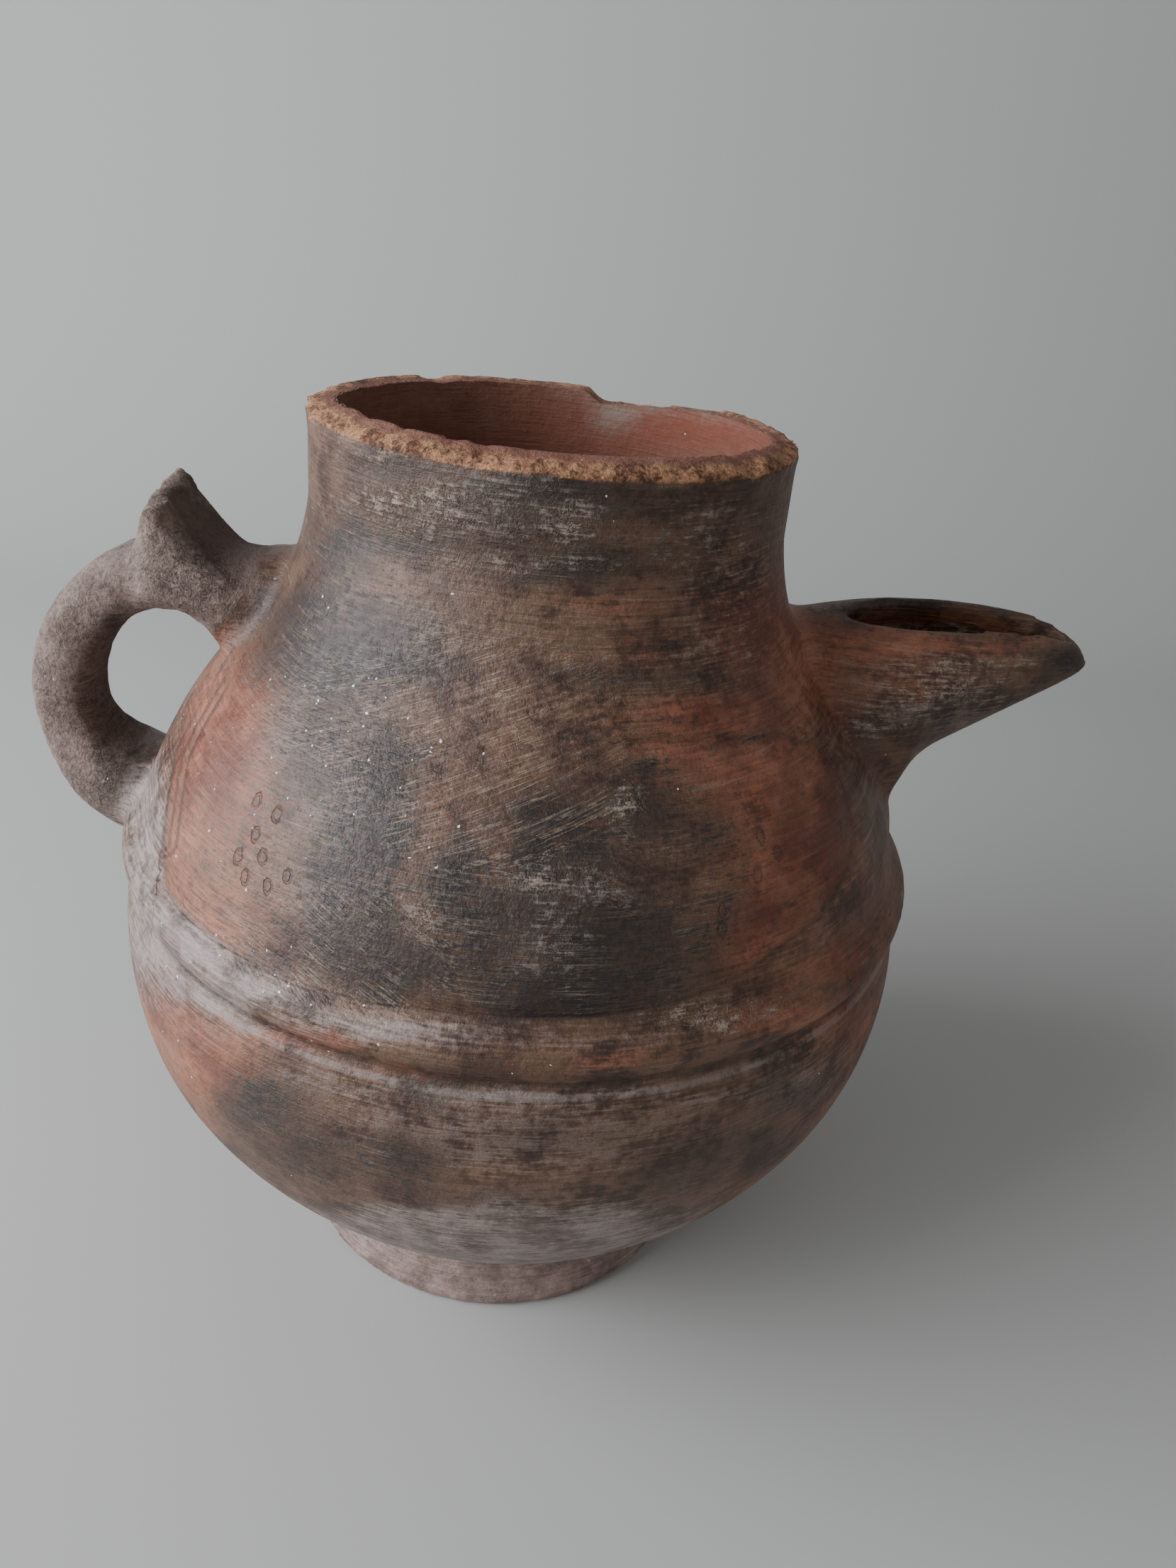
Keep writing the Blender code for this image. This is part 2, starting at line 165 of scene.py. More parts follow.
def bodyProfile():
    # outer radius and height from the lip down to the underside
    step = body["ringStep"]
    beltTop = body["beltLow"] + body["beltTall"]
    line = [(body["neckRadius"], z) for z in np.arange(body["neckTop"], body["neckBottom"], -step)]
    line += [(domeRadius(z), z) for z in np.arange(body["neckBottom"], beltTop, -step)]
    base, edge = body["beltRadius"] - body["beltRise"], body["beltRadius"] - body["beltStep"]
    for t in np.linspace(0.0, 1.0, 10):
        low = mix(base, edge, t)
        swell = max(mix(low, body["beltRadius"], math.sin(math.pi * t**1.25)), low)
        line.append((swell, beltTop - body["beltTall"] * t))
    # the ledge that stands out under the belt, as steps out and down
    line += [(edge + out, body["beltLow"] - down) for out, down in ((-1.0, 0.9), (0.5, 2.0), (0.5, 3.2))]
    share = body["bowlFoot"] / body["bowlRadius"]
    low = body["bowlMiddle"] - body["bowlDepth"] * math.sqrt(1.0 - share**2)
    start, count = body["beltLow"] - 4.6, 50
    for i in range(count + 1):
        z = mix(start, low, (i / count) ** 0.85)
        line.append((bowlRadius(z), z))
    # the foot narrows to its waist, flares out and ends in a rounded edge
    waist, foot, tall = body["footWaist"], body["footRadius"], body["footHeight"]
    line += [(waist, tall), (waist + 0.5, tall * 0.8), (waist + 1.2, tall * 0.55)]
    line += [(mix(waist, foot, 0.65), tall * 0.3), (foot, 3.0), (foot, 1.6)]
    line += [(foot - 0.4, 0.6), (foot - 1.4, 0.0)]
    return line


profile = bodyProfile()
profileHeights = np.array([z for r, z in profile])[::-1]
profileRadii = np.array([r for r, z in profile])[::-1]


def outline(z):
    return np.interp(z, profileHeights, profileRadii)


def swelling(angle, z):
    # two broad panels in front and at the back, and the buttress under the spout
    low = body["beltLow"] + body["beltTall"]
    share = np.clip((z - low) / (body["neckBottom"] - low), 0.0, 1.0)
    panel = ease((np.abs(np.sin(angle)) - 0.3) / 0.45)
    across = np.abs(wrapAngle(angle)) * body["domeRadius"]
    spread = ease(1.0 - across / (body["buttressWidth"] * 0.5))
    ridge = body["buttressRise"] * spread * ease((share + 0.1) / 0.2) * ease(1.0 - share / 0.5)
    inBand = (z > low) & (z < body["neckBottom"])
    return inBand * (body["panelRise"] * panel * np.sin(np.pi * share) + ridge)


def lipSag(angle):
    # the lip stands highest in front and sags towards the back
    return lip["sag"] * ease(0.62 + 0.75 * np.sin(angle))


def lipLoss(angle):
    # how far the outer edge of the lip is broken down, most of all in front
    front = ease(0.5 - 0.9 * np.sin(angle))
    wave = 0.45 * np.sin(9.0 * angle) * np.cos(4.0 * angle) + 0.35 * np.sin(17.0 * angle + 1.0)
    return mix(lip["lossBack"], lip["lossFront"], front) + wave * front


def notchDepth(angle):
    # a sharp step on the handle's side that rises slowly towards the spout
    along = (math.radians(lip["notchAngle"]) - angle) * body["neckRadius"]
    drop = ease((along + lip["notchStep"]) / lip["notchStep"]) * ease(1.0 - along / lip["notchWidth"])
    return lip["notchDepth"] * drop * (np.abs(angle) < 3.0)


def chipDepth(angle):
    depth = np.zeros(len(angle))
    for turn, width, deep in lipChips:
        off = wrapAngle(angle - math.radians(turn))
        depth += deep * ease(1.3 * (1.0 - np.abs(off) * body["neckRadius"] / (width * 0.5)))
    return depth


def makeBody():
    angles = 2.0 * np.pi * np.arange(body["turns"]) / body["turns"]
    wrapped = wrapAngle(angles)
    loss, notch = lipLoss(wrapped), notchDepth(wrapped)
    inner, outer = body["neckRadius"] - body["wall"], body["neckRadius"] + lip["flare"]
    rings = []
    slant = ((0.0, inner - 4.0), (0.0, inner), (0.25, mix(inner, outer, 0.35)), (0.7, mix(inner, outer, 0.7)))
    for share, radius in slant + ((1.0, outer),):
        behind = lip["innerLoss"] * ease(0.5 + np.sin(wrapped)) * (1.0 - share)
        tops = body["rimHeight"] - lipSag(wrapped) - notch - chipDepth(wrapped) - loss * share - behind
        rings.append([(radius * math.cos(a), radius * math.sin(a), z) for a, z in zip(angles, tops)])
    for radius, z in profile:
        grown = radius + swelling(angles, z)
        rings.append([(g * math.cos(a), g * math.sin(a), z) for a, g in zip(angles, grown)])
    return rollTube("bodyLump", rings)


print("body profile ready")


# The handle: a strap on an arc, with a web that joins it to the neck and the shoulder
handle = {
    "reach": 112.2, "middle": 149.0, "drop": 28.5, "bow": 26.0, "lean": 7.0, "start": -68.0, "end": 95.0,
    "thick": 14.6, "width": 20.0, "rootWidth": 31.0, "rootThick": 18.0, "web": 20.0, "saddle": 1.0,
    "sections": 30, "round": 28,
}
# The stump of the lost strap on the handle's back
stump = {
    "top": 197.6, "reach": 86.2, "rootWidth": 31.5, "tipWidth": 27.0, "tipThick": 4.6, "lean": 7.0,
    "sweep": 25.0, "hollow": 1.3, "breakSlope": 4.0,
}


def handleArc(steps):
    centre = np.array([-(handle["reach"] - handle["bow"]), 0.0, handle["middle"]])
    lean = math.tan(math.radians(handle["lean"]))
    points = []
    for t in np.radians(np.linspace(handle["start"], handle["end"], steps)):
        z = handle["drop"] * math.sin(t)
        points.append(centre + np.array([z * lean - handle["bow"] * math.cos(t), 0.0, z]))
    return points


def makeHandle():
    u, v = roundSection(handle["round"], 0.66)
    arc = handleArc(handle["sections"])
    last = len(arc) - 1
    sections = []
    for i, point in enumerate(arc):
        along = arc[min(i + 1, last)] - arc[max(i - 1, 0)]
        along = along / np.linalg.norm(along)
        low, high = ease(1.0 - i / last / 0.3), ease((i / last - 0.7) / 0.3)
        thick = mix(handle["thick"], handle["rootThick"], low)
        width = mix(handle["width"], handle["rootWidth"], max(low, high))
        sections.append((point, np.array([along[2], 0.0, -along[0]]), thick, width))
    # the strap starts inside the wall, at the belt
    deep = body["beltRadius"] - body["wall"] * 1.5
    root = np.array([-deep, 0.0, body["beltLow"] + body["beltTall"] * 0.1])
    sections.insert(0, (root, *sections[0][1:]))
    top = arc[-1][2] + handle["thick"] * 0.5
    for share in (0.15, 0.3, 0.45, 0.6, 0.8, 1.0):
        x = mix(arc[-1][0], -(body["neckRadius"] - body["wall"] * 0.5), share)
        dip = handle["saddle"] * ease(share / 0.5)
        thick = handle["thick"] - dip + handle["web"] * ease(share / 0.6)
        centre = np.array([x, 0.0, top - dip - thick / 2])
        sections.append((centre, np.array([0.0, 0.0, -1.0]), thick, handle["rootWidth"]))
    rings = []
    for centre, across, thick, width in sections:
        ring = [centre + across * (a * thick / 2) + np.array([0.0, b * width / 2, 0.0]) for a, b in zip(u, v)]
        rings.append(ring)
    return rollTube("handleLump", rings)


def makeStump():
    u, v = roundSection(28, 0.6)
    low = handle["middle"] + handle["drop"] - handle["thick"] * 0.2
    rings = []
    for t in np.linspace(0.0, 1.0, 16):
        outer = -(stump["reach"] + stump["tipThick"] / 2 + stump["lean"] * (1.0 - t))
        inner = -(stump["reach"] - stump["tipThick"] / 2 - stump["sweep"] * (1.0 - t) ** stump["hollow"])
        width = mix(stump["rootWidth"], stump["tipWidth"], t)
        middle, thick, z = (outer + inner) / 2, inner - outer, mix(low, stump["top"], t)
        fall = z - stump["breakSlope"] * t * (1.0 - v) / 2
        rings.append(list(zip(middle + u * thick / 2, v * width / 2, fall)))
    return rollTube("stumpLump", rings)


# The beak spout with a slot along its top
spout = {
    "reach": 133.2, "top": 184.8, "topReach": 110.0, "topFall": 3.2, "tipHeight": 171.8, "tipSize": 2.8,
    "slope": 0.645, "keel": 0.3, "tilt": 0.22, "underFillet": 20.0, "rootReach": 90.8, "halfWidth": 17.0,
    "spread": 0.45, "wall": 3.6, "channelStart": 58.0, "channelEnd": 112.0, "squeeze": 0.55,
    "slotStart": 71.0, "slotWidth": 13.0, "bead": 1.7, "beadSink": 1.2, "round": 48, "boxy": 0.86,
}


def spoutUnder(x):
    slope = math.atan(spout["slope"])
    meet = spout["rootReach"] + spout["underFillet"] * (1.0 - math.sin(slope))
    if x >= meet:
        return spout["tipHeight"] - (spout["reach"] - x) * spout["slope"]
    straight = spout["tipHeight"] - (spout["reach"] - meet) * spout["slope"]
    centre = straight - spout["underFillet"] * math.cos(slope)
    share = 1.0 - (x - spout["rootReach"]) / spout["underFillet"]
    return centre + spout["underFillet"] * math.sqrt(max(1.0 - share * share, 0.0))


def spoutOver(x):
    if x > spout["topReach"]:
        share = (x - spout["topReach"]) / (spout["reach"] - spout["topReach"])
        return mix(spout["top"], spout["tipHeight"] + spout["tipSize"], share ** spout["topFall"])
    share = (spout["topReach"] - x) / (spout["topReach"] - body["neckRadius"])
    return spout["top"] - spout["tipSize"] * 2.6 * share * share


def spoutRing(x, inset, u, v):
    low, high = spoutUnder(x) + inset, spoutOver(x) - inset
    share = (spout["reach"] - x) / (spout["reach"] - spout["rootReach"])
    half = mix(spout["tipSize"] / 2, spout["halfWidth"], max(min(share, 1.0), 0.0) ** 0.75)
    half = max(half + max(spout["rootReach"] - x, 0.0) * spout["spread"] - inset, spout["tipSize"] / 8)
    root = ease((spout["rootReach"] - x) / (spout["rootReach"] - body["neckRadius"]))
    middle = mix(low, high, 0.52 - 0.12 * root)
    narrow = (1.0 - root * 0.5 * (u + 1.0) / 2) * (1.0 + spout["keel"] * np.minimum(u, 0.0))
    side = v * half * narrow
    rise = middle + np.where(u > 0.0, u * (high - middle), u * (middle - low))
    rise = rise + np.maximum(u, 0.0) * side * spout["tilt"]
    return [(x, a, b) for a, b in zip(side, rise)]


def makeSpout():
    u, v = roundSection(spout["round"], spout["boxy"])
    start, root, end = body["neckRadius"] - 3.0, spout["rootReach"], spout["reach"]
    stations = list(np.linspace(start, root, 18)[:-1])
    stations += [mix(root, end, t**1.15) for t in np.linspace(0.0, 1.0, 36)]
    beak = rollTube("spoutLump", [spoutRing(x, 0.0, u, v) for x in stations])
    carve(beak, makeChannel(spout["wall"], spout["slotStart"] - 2.0, end - spout["wall"] * 2.4))
    carve(beak, makeSlot())
    return beak


def makeChannel(inset, start, end):
    u, v = roundSection(32, 0.9)
    rings = []
    for x in np.linspace(start, end, 24):
        ring = np.array(spoutRing(max(x, spout["rootReach"] + inset), inset, u, v))
        fall = ease((spout["rootReach"] - x) / (spout["rootReach"] - spout["channelStart"]))
        low, squeeze = ring[:, 2].min(), mix(1.0, spout["squeeze"], fall)
        rings.append([(x, p[1] * squeeze, low + (p[2] - low) * squeeze) for p in ring])
    return rollTube("channelTool", rings)


def makeSlot():
    edge = slotEdge()
    rim = edge + [(x, -h) for x, h in reversed(edge)]
    low, high = mix(spout["tipHeight"], spout["top"], 0.1), spout["top"] + 8.0
    return rollTube("slotTool", [[(x, y, z) for x, y in rim] for z in (low, high)])


def slotEdge():
    # the slot's outline from above, as x and half width
    start, end = spout["slotStart"], spout["reach"] - spout["wall"] * 0.9
    edge = []
    for t in np.linspace(0.0, 1.0, 32):
        half = spout["slotWidth"] / 2 * max(math.sin(math.pi * t**0.8), 0.0) ** 0.6
        edge.append((mix(start, end, t), half + 0.05))
    return edge


def makeRolledLip():
    # a rounded bead that runs along the slot's edge
    edge = slotEdge()
    path = [(x, h, 1.0) for x, h in edge] + [(x, h, -1.0) for x, h in reversed(edge)]
    deselectAll()
    bpy.ops.curve.primitive_bezier_circle_add()
    bead = bpy.context.object
    bead.name = "lipBead"
    bead.data.splines.clear()
    line = bead.data.splines.new("POLY")
    line.points.add(len(path) - 1)
    line.use_cyclic_u = True
    u, v = roundSection(spout["round"], spout["boxy"])
    places = []
    for x, half, side in path:
        ring = np.array(spoutRing(x, spout["beadSink"], u, v))
        top = ring[(ring[:, 2] > np.median(ring[:, 2])) & (ring[:, 1] * side >= -0.01)]
        order = np.argsort(np.abs(top[:, 1]))
        reach = min(half + spout["bead"] * 0.4, np.abs(top[:, 1]).max())
        places.append((x, side * reach, np.interp(reach, np.abs(top[order, 1]), top[order, 2]), 0.0))
    places = np.array(places)
    for turn in range(3):
        places = 0.5 * places + 0.25 * (np.roll(places, 1, axis=0) + np.roll(places, -1, axis=0))
    line.points.foreach_set("co", (places * mm + np.array([0.0, 0.0, 0.0, 1.0])).ravel())
    bead.data.bevel_depth = spout["bead"] * mm
    bead.data.bevel_resolution = 4
    bead.data.use_fill_caps = True
    makeActive(bead)
    bpy.ops.object.convert(target="MESH")
    return bpy.context.object


# The inside: heights above which the neck is straight and the dome starts, and the floor's rounded edge
cavity = {
    "top": 226.0, "neckEnd": 199.0, "domeStart": 197.0, "step": 3.0, "count": 96,
    "floorEdge": ((44.0, 4.4), (41.0, 1.4), (36.0, 0.0)),
}


def makeHollow():
    # the inside of the body, which runs out through the mouth
    wall, step = body["wall"], cavity["step"]
    line = [(body["neckRadius"] - wall, z) for z in np.arange(cavity["top"], cavity["neckEnd"], -step)]
    beltMiddle = body["beltLow"] + body["beltTall"] / 2
    for z in np.arange(cavity["domeStart"], beltMiddle, -step):
        slope = (domeRadius(z - 0.5) - domeRadius(z + 0.5))
        size = math.hypot(slope, 1.0)
        line.append((domeRadius(z) - wall / size, z - wall * slope / size))
    low = body["footHeight"] + step
    for z in np.arange(beltMiddle - step, low, -step):
        slope = (bowlRadius(z - 0.5) - bowlRadius(z + 0.5))
        size = math.hypot(slope, 1.0)
        if z - wall * slope / size > body["floor"] + 5.0 and bowlRadius(z) - wall / size > 45.0:
            line.append((bowlRadius(z) - wall / size, z - wall * slope / size))
    line += [(radius, body["floor"] + rise) for radius, rise in cavity["floorEdge"]]
    angles = 2.0 * np.pi * np.arange(cavity["count"]) / cavity["count"]
    return rollTube("hollowTool", [[(r * math.cos(a), r * math.sin(a), z) for a in angles] for r, z in line])


# How the lumps are joined and how finely the clay is meshed
joining = {"voxel": 1.53, "passes": 11}
joinSpots = [  # places where two lumps meet: x, y, z and a reach of its own
    (-54, 0, 180, 15), (-64, 0, 164, 15), (-62, 15, 172, 12), (-62, -15, 172, 12), (-97, 0, 184, 6),
    (-97, 0, 124, 17), (-92, 0, 131, 14), (-72, 0, 156, 13), (-71, 12, 156, 12), (-71, -12, 156, 12),
    (122, 4, 180, 8), (122, -4, 180, 8), (129, 0, 177, 7), (62, 0, 178, 18), (70, 14, 172, 16),
    (70, -14, 172, 16), (88, 16, 150, 16), (88, -16, 150, 16), (91, 0, 136, 16),
]


def joinLumps(lumps):
    deselectAll()
    for lump in lumps:
        lump.select_set(True)
    bpy.context.view_layer.objects.active = lumps[0]
    bpy.ops.object.join()
    jug = bpy.context.object
    jug.name = "jugClay"
    useModifier(jug, "REMESH", mode="VOXEL", voxel_size=joining["voxel"] * mm, adaptivity=0.0)
    spots = readPoints(jug)
    weights = np.zeros(len(spots))
    for x, y, z, reach in joinSpots:
        away = np.linalg.norm(spots - np.array([x, y, z]), axis=1)
        weights = np.maximum(weights, ease(1.4 - away / reach))
    group = jug.vertex_groups.new(name="joint")
    for step in range(1, 6):
        chosen = np.nonzero((weights > (step - 1) / 5) & (weights <= step / 5))[0]
        group.add([int(i) for i in chosen], step / 5, "REPLACE")
    useModifier(jug, "SMOOTH", factor=0.5, iterations=joining["passes"], vertex_group="joint")
    useModifier(jug, "SMOOTH", factor=0.5, iterations=2)
    return jug


def readRows(rows, name):
    values = np.empty(len(rows) * 3, dtype=np.float64)
    rows.foreach_get(name, values)
    return values.reshape(-1, 3)


def readPoints(piece):
    return readRows(piece.data.vertices, "co") / mm


def readNormals(piece):
    return readRows(piece.data.vertex_normals, "vector")


def writePoints(piece, spots):
    piece.data.vertices.foreach_set("co", (spots * mm).astype(np.float32).ravel())
    piece.data.update()


def lumpNoise(spots, size, seed):
    # smooth noise from -1 to 1 with lumps of the given size
    shift = Vector((seed * 7.31, seed * 3.17, seed * 5.77))
    return np.array([noise.noise(Vector(p) / size + shift) for p in spots])


# The photograph's view of the jug: angles in degrees, place in millimetres, focus in picture points
view = {
    "pitch": 27.4, "roll": 6.22, "yaw": 3.34, "place": (0.0, -266.4, 268.0), "focus": 1662.0,
    "wide": 1659.0, "tall": 2212.0, "backDrift": (150.0, 60.0), "backFrom": 4.0, "backBlend": 50.0,
}


def viewAxes():
    pitch, roll, yaw = (math.radians(view[key]) for key in ("pitch", "roll", "yaw"))
    forward = Vector((math.sin(yaw) * math.cos(pitch), math.cos(yaw) * math.cos(pitch), -math.sin(pitch)))
    right = Vector((math.cos(yaw), -math.sin(yaw), 0.0))
    up = right.cross(forward)
    return math.cos(roll) * right + math.sin(roll) * up, math.cos(roll) * up - math.sin(roll) * right, forward


def straightPlaces(spots):
    # where points of the clay lie in the photograph
    side, top, forward = (np.array(axis) for axis in viewAxes())
    away = spots - np.array(view["place"])
    depth = away @ forward
    x = view["wide"] / 2 + view["focus"] * (away @ side) / depth
    return np.stack([x, view["tall"] / 2 - view["focus"] * (away @ top) / depth], axis=1)


def picturePlaces(spots):
    # the same, but the back half takes the front's mirror image, drifted aside
    behind = ease((spots[:, 1] - view["backFrom"]) / view["backBlend"])
    near = spots.copy()
    near[:, 1] = -np.abs(near[:, 1])
    return straightPlaces(near) + np.outer(behind, view["backDrift"])


# Patches of colour, as they lie in the photograph: x, y, half width, half height, strength
sootAndShade = {
    "neckAll": (700, 725, 270, 70, 0.52), "neckTop": (800, 682, 95, 32, 0.85),
    "neckTopLeft": (560, 655, 60, 20, 0.5), "neckLeft": (480, 765, 45, 34, 0.8),
    "neckMiddle": (590, 770, 50, 18, 0.5), "neckLow": (845, 790, 95, 22, 0.75),
    "neckRight": (1055, 665, 22, 20, 0.6), "neckFar": (1065, 730, 26, 45, 0.2),
    "neckBase": (770, 815, 90, 16, 0.5), "shoulderTop": (440, 855, 70, 36, 0.75),
    "centreAll": (720, 1260, 270, 190, 0.42), "shoulderAll": (520, 900, 170, 60, 0.5),
    "shoulderBlue": (475, 935, 80, 40, 1.2), "shoulderLow": (600, 950, 60, 18, 0.55),
    "sheenTop": (430, 1010, 50, 50, 0.45), "sheenCore": (455, 1070, 60, 60, 0.6),
    "sheenRight": (545, 1080, 34, 48, 0.8), "columnTop": (500, 1140, 40, 45, 0.75),
    "columnSide": (545, 1185, 26, 34, 0.8), "columnLow": (490, 1245, 42, 60, 0.8),
    "leftLow": (470, 1335, 62, 44, 0.7), "leftFoot": (525, 1385, 60, 30, 0.7),
    "stripeOne": (545, 1300, 26, 60, 0.75), "stripeTwo": (645, 1235, 22, 60, 0.85),
    "stripeThree": (600, 1360, 60, 34, 0.7), "stripeFour": (690, 1330, 34, 60, 0.7),
    "stripeFive": (735, 1220, 26, 30, 0.9), "heartTop": (765, 1150, 46, 30, 0.85),
    "heart": (820, 1205, 50, 40, 0.8), "heartSide": (915, 1165, 50, 30, 0.5),
    "heartMiddle": (770, 1290, 60, 34, 0.7), "core": (825, 1345, 58, 58, 1.1),
    "coreLow": (800, 1402, 80, 36, 1.0), "coreFoot": (760, 1432, 46, 14, 1.0),
    "coreRight": (900, 1370, 50, 50, 0.7), "coreUp": (870, 1295, 50, 30, 0.6),
    "rightMiddle": (985, 1340, 50, 50, 0.4), "rightTop": (1000, 1190, 40, 40, 0.45),
    "rightSide": (1040, 1290, 30, 46, 0.45), "spot": (925, 1080, 30, 18, 0.95),
    "centreTop": (850, 955, 90, 14, 0.55), "centreSide": (880, 1120, 60, 34, 0.5),
    "eyeBrow": (1000, 955, 60, 10, 0.4), "topLine": (1070, 1040, 100, 6, 0.55),
    "bowlLeft": (365, 1550, 62, 46, 0.85), "bowlLeftLow": (430, 1625, 60, 46, 0.7),
    "bowlFront": (560, 1640, 62, 34, 0.8), "bowlFrontUp": (600, 1545, 50, 26, 0.75),
    "underBelt": (668, 1512, 52, 12, 0.85), "bowlMiddle": (760, 1600, 120, 22, 0.4),
    "bowlRight": (1120, 1540, 40, 24, 0.6), "bowlRightLow": (1060, 1610, 60, 34, 0.4),
    "bowlFar": (950, 1655, 70, 30, 0.45), "bowlDeep": (640, 1690, 160, 16, 0.4),
    "beakTip": (1500, 934, 30, 20, 0.9), "beakUnder": (1290, 1035, 90, 22, 0.4),
    # the two loop patches on these lines darken the inner side of the handle's loop, which faces away from the
    # window light: painted shade
    "beakSide": (1390, 985, 60, 14, 0.5), "loopInsideShade": (163, 900, 22, 90, 0.9),
    "loopLowShade": (140, 1080, 26, 60, 0.95), "beltSpot": (730, 1442, 30, 8, 0.8),
    # the patch along the spout's slot darkens the slot and the channel seen through it: painted shade
    "beakSlotShade": (1340, 866, 150, 16, 1.3), "border": (1215, 1110, 26, 90, 0.6),
    "borderLow": (1180, 1290, 60, 36, 0.45), "rightBelt": (1100, 1400, 90, 24, 0.35),
}
ember = {
    "leftPanel": (310, 1070, 70, 110, 1.2), "leftPanelLow": (245, 1200, 40, 70, 0.8),
    "leftPanelFoot": (305, 1290, 66, 52, 0.7), "leftShoulder": (330, 985, 46, 60, 0.7),
    "handleFoot": (300, 905, 26, 46, 0.35), "rightPanel": (1120, 1230, 100, 130, 1.3),
    "rightPanelTop": (1090, 1095, 100, 44, 1.15), "rightPanelLow": (1110, 1345, 90, 46, 1.0),
    "brow": (1010, 1010, 130, 24, 0.85), "browLeft": (960, 1065, 56, 26, 0.85),
    "browRight": (1150, 985, 40, 50, 0.35), "honey": (710, 1062, 30, 34, 0.4),
    "warmOne": (610, 1140, 30, 60, 0.36), "warmTwo": (565, 1240, 18, 60, 0.36),
    "warmThree": (700, 1190, 26, 46, 0.36), "warmFour": (725, 1300, 16, 60, 0.36),
    "shoulderWarm": (900, 905, 60, 40, 0.4), "neckWarm": (905, 770, 46, 60, 0.35),
    "neckBand": (860, 845, 110, 14, 0.45), "neckLeftWarm": (560, 840, 50, 16, 0.4),
    "warmFive": (1090, 880, 70, 80, 1.1), "shoulderRim": (1130, 940, 60, 50, 0.8),
    "bowlRose": (235, 1425, 70, 60, 0.8), "bowlOrange": (300, 1500, 72, 44, 0.85),
    "bowlRoseLow": (300, 1560, 30, 60, 0.6), "bowlRight": (1200, 1480, 36, 90, 0.45),
    "bowlRightLow": (1160, 1580, 40, 60, 0.4), "bowlUnder": (1060, 1680, 60, 40, 0.5),
    "foot": (560, 1812, 240, 34, 0.25), "beltRed": (875, 1492, 70, 14, 0.6),
    "beltRight": (1120, 1435, 100, 24, 0.8), "beltLine": (420, 1465, 90, 12, 0.9),
    "beltLeft": (270, 1390, 60, 16, 0.75), "beltFoot": (620, 1512, 140, 8, 0.8),
    "beakFlank": (1262, 912, 90, 26, 0.9), "beakRoot": (1170, 905, 46, 60, 0.3),
    "beakLow": (1290, 965, 60, 18, 0.7), "beakFar": (1400, 910, 60, 14, 0.5),
    "mouthRight": (985, 600, 130, 40, 0.9),
}
chalk = {
    "neckLip": (570, 640, 90, 18, 0.7), "neckRow": (600, 705, 120, 22, 0.85),
    "neckRowTwo": (650, 745, 130, 16, 0.75), "neckBlotch": (805, 745, 34, 22, 0.95),
    "neckBlotchUp": (775, 672, 24, 12, 0.6), "neckDash": (810, 712, 40, 10, 0.7),
    "neckRowThree": (740, 795, 150, 10, 0.7), "neckRight": (1000, 745, 60, 60, 0.5),
    "neckRightLow": (1040, 830, 60, 60, 0.45), "blotch": (882, 1132, 26, 28, 1.0),
    "blotchLow": (830, 1250, 70, 26, 0.6), "flecks": (745, 1245, 34, 14, 0.8),
    "whiteMark": (604, 1296, 18, 16, 1.2), "whiteMarkLeft": (520, 1285, 30, 14, 0.5),
    "heartFlecks": (770, 1330, 50, 50, 0.45), "beltPatch": (1000, 1432, 66, 18, 0.9),
    "beltPatchRight": (1090, 1415, 50, 20, 0.5), "beakStreaks": (1330, 975, 90, 30, 0.9),
    "beakTop": (1330, 935, 110, 14, 0.7), "beakUnder": (1240, 1020, 50, 26, 0.8),
    "loopFace": (260, 800, 46, 46, 0.6), "armPale": (275, 812, 44, 44, 1.0),
    "mouthBlotch": (880, 588, 34, 20, 1.1), "loopRoot": (130, 1110, 26, 50, 0.5),
    "bowlFlecks": (700, 1560, 260, 50, 0.25), "centreRub": (720, 1000, 230, 90, 0.22),
    "rightRub": (1000, 930, 90, 50, 0.35),
}
veil = {
    "beltLeft": (240, 1325, 80, 46, 1.2), "beltLeftLow": (330, 1400, 90, 26, 1.15),
    "beltFront": (540, 1452, 170, 18, 0.65), "beltMiddle": (800, 1465, 160, 14, 0.4),
    "underBeltLeft": (420, 1520, 60, 12, 0.5), "lineUnder": (760, 1545, 330, 7, 0.6),
    "bowlFront": (700, 1600, 330, 60, 0.5), "bowlLow": (690, 1735, 300, 34, 1.1),
    "bowlRight": (1130, 1520, 70, 50, 0.4), "borderRight": (1180, 1300, 60, 40, 0.25),
    "buttress": (1222, 1170, 24, 110, 0.3), "sideLeft": (205, 1200, 30, 110, 0.8),
    "loop": (110, 930, 70, 190, 0.75), "arm": (250, 800, 110, 60, 0.7), "loopRoot": (190, 1110, 46, 60, 0.8),
    # the sheen and left haze patches below grey and lighten the clay where the window's sheen falls: painted
    # sheen
    "beakUnder": (1330, 1010, 110, 30, 0.6), "paintedSheen": (430, 1040, 60, 90, 0.5),
    "footRing": (600, 1812, 260, 34, 1.5), "leftSheenHaze": (285, 1110, 60, 110, 0.12),
}
rubUp = {"shoulder": (650, 1020, 230, 120, 1.0), "heart": (690, 1150, 160, 70, 0.8)}
rubDown = {"lowLeft": (480, 1350, 150, 90, 1.0), "lowMiddle": (900, 1240, 130, 80, 0.5)}
# where the painted mica glints gather, most of all where the window's sheen falls: painted highlights
micaGlintSpots = {
    "paintedSheen": (500, 1060, 80, 90, 1.0), "leftPanel": (400, 1060, 120, 120, 0.5),
    "belt": (350, 1400, 130, 60, 0.5),
}

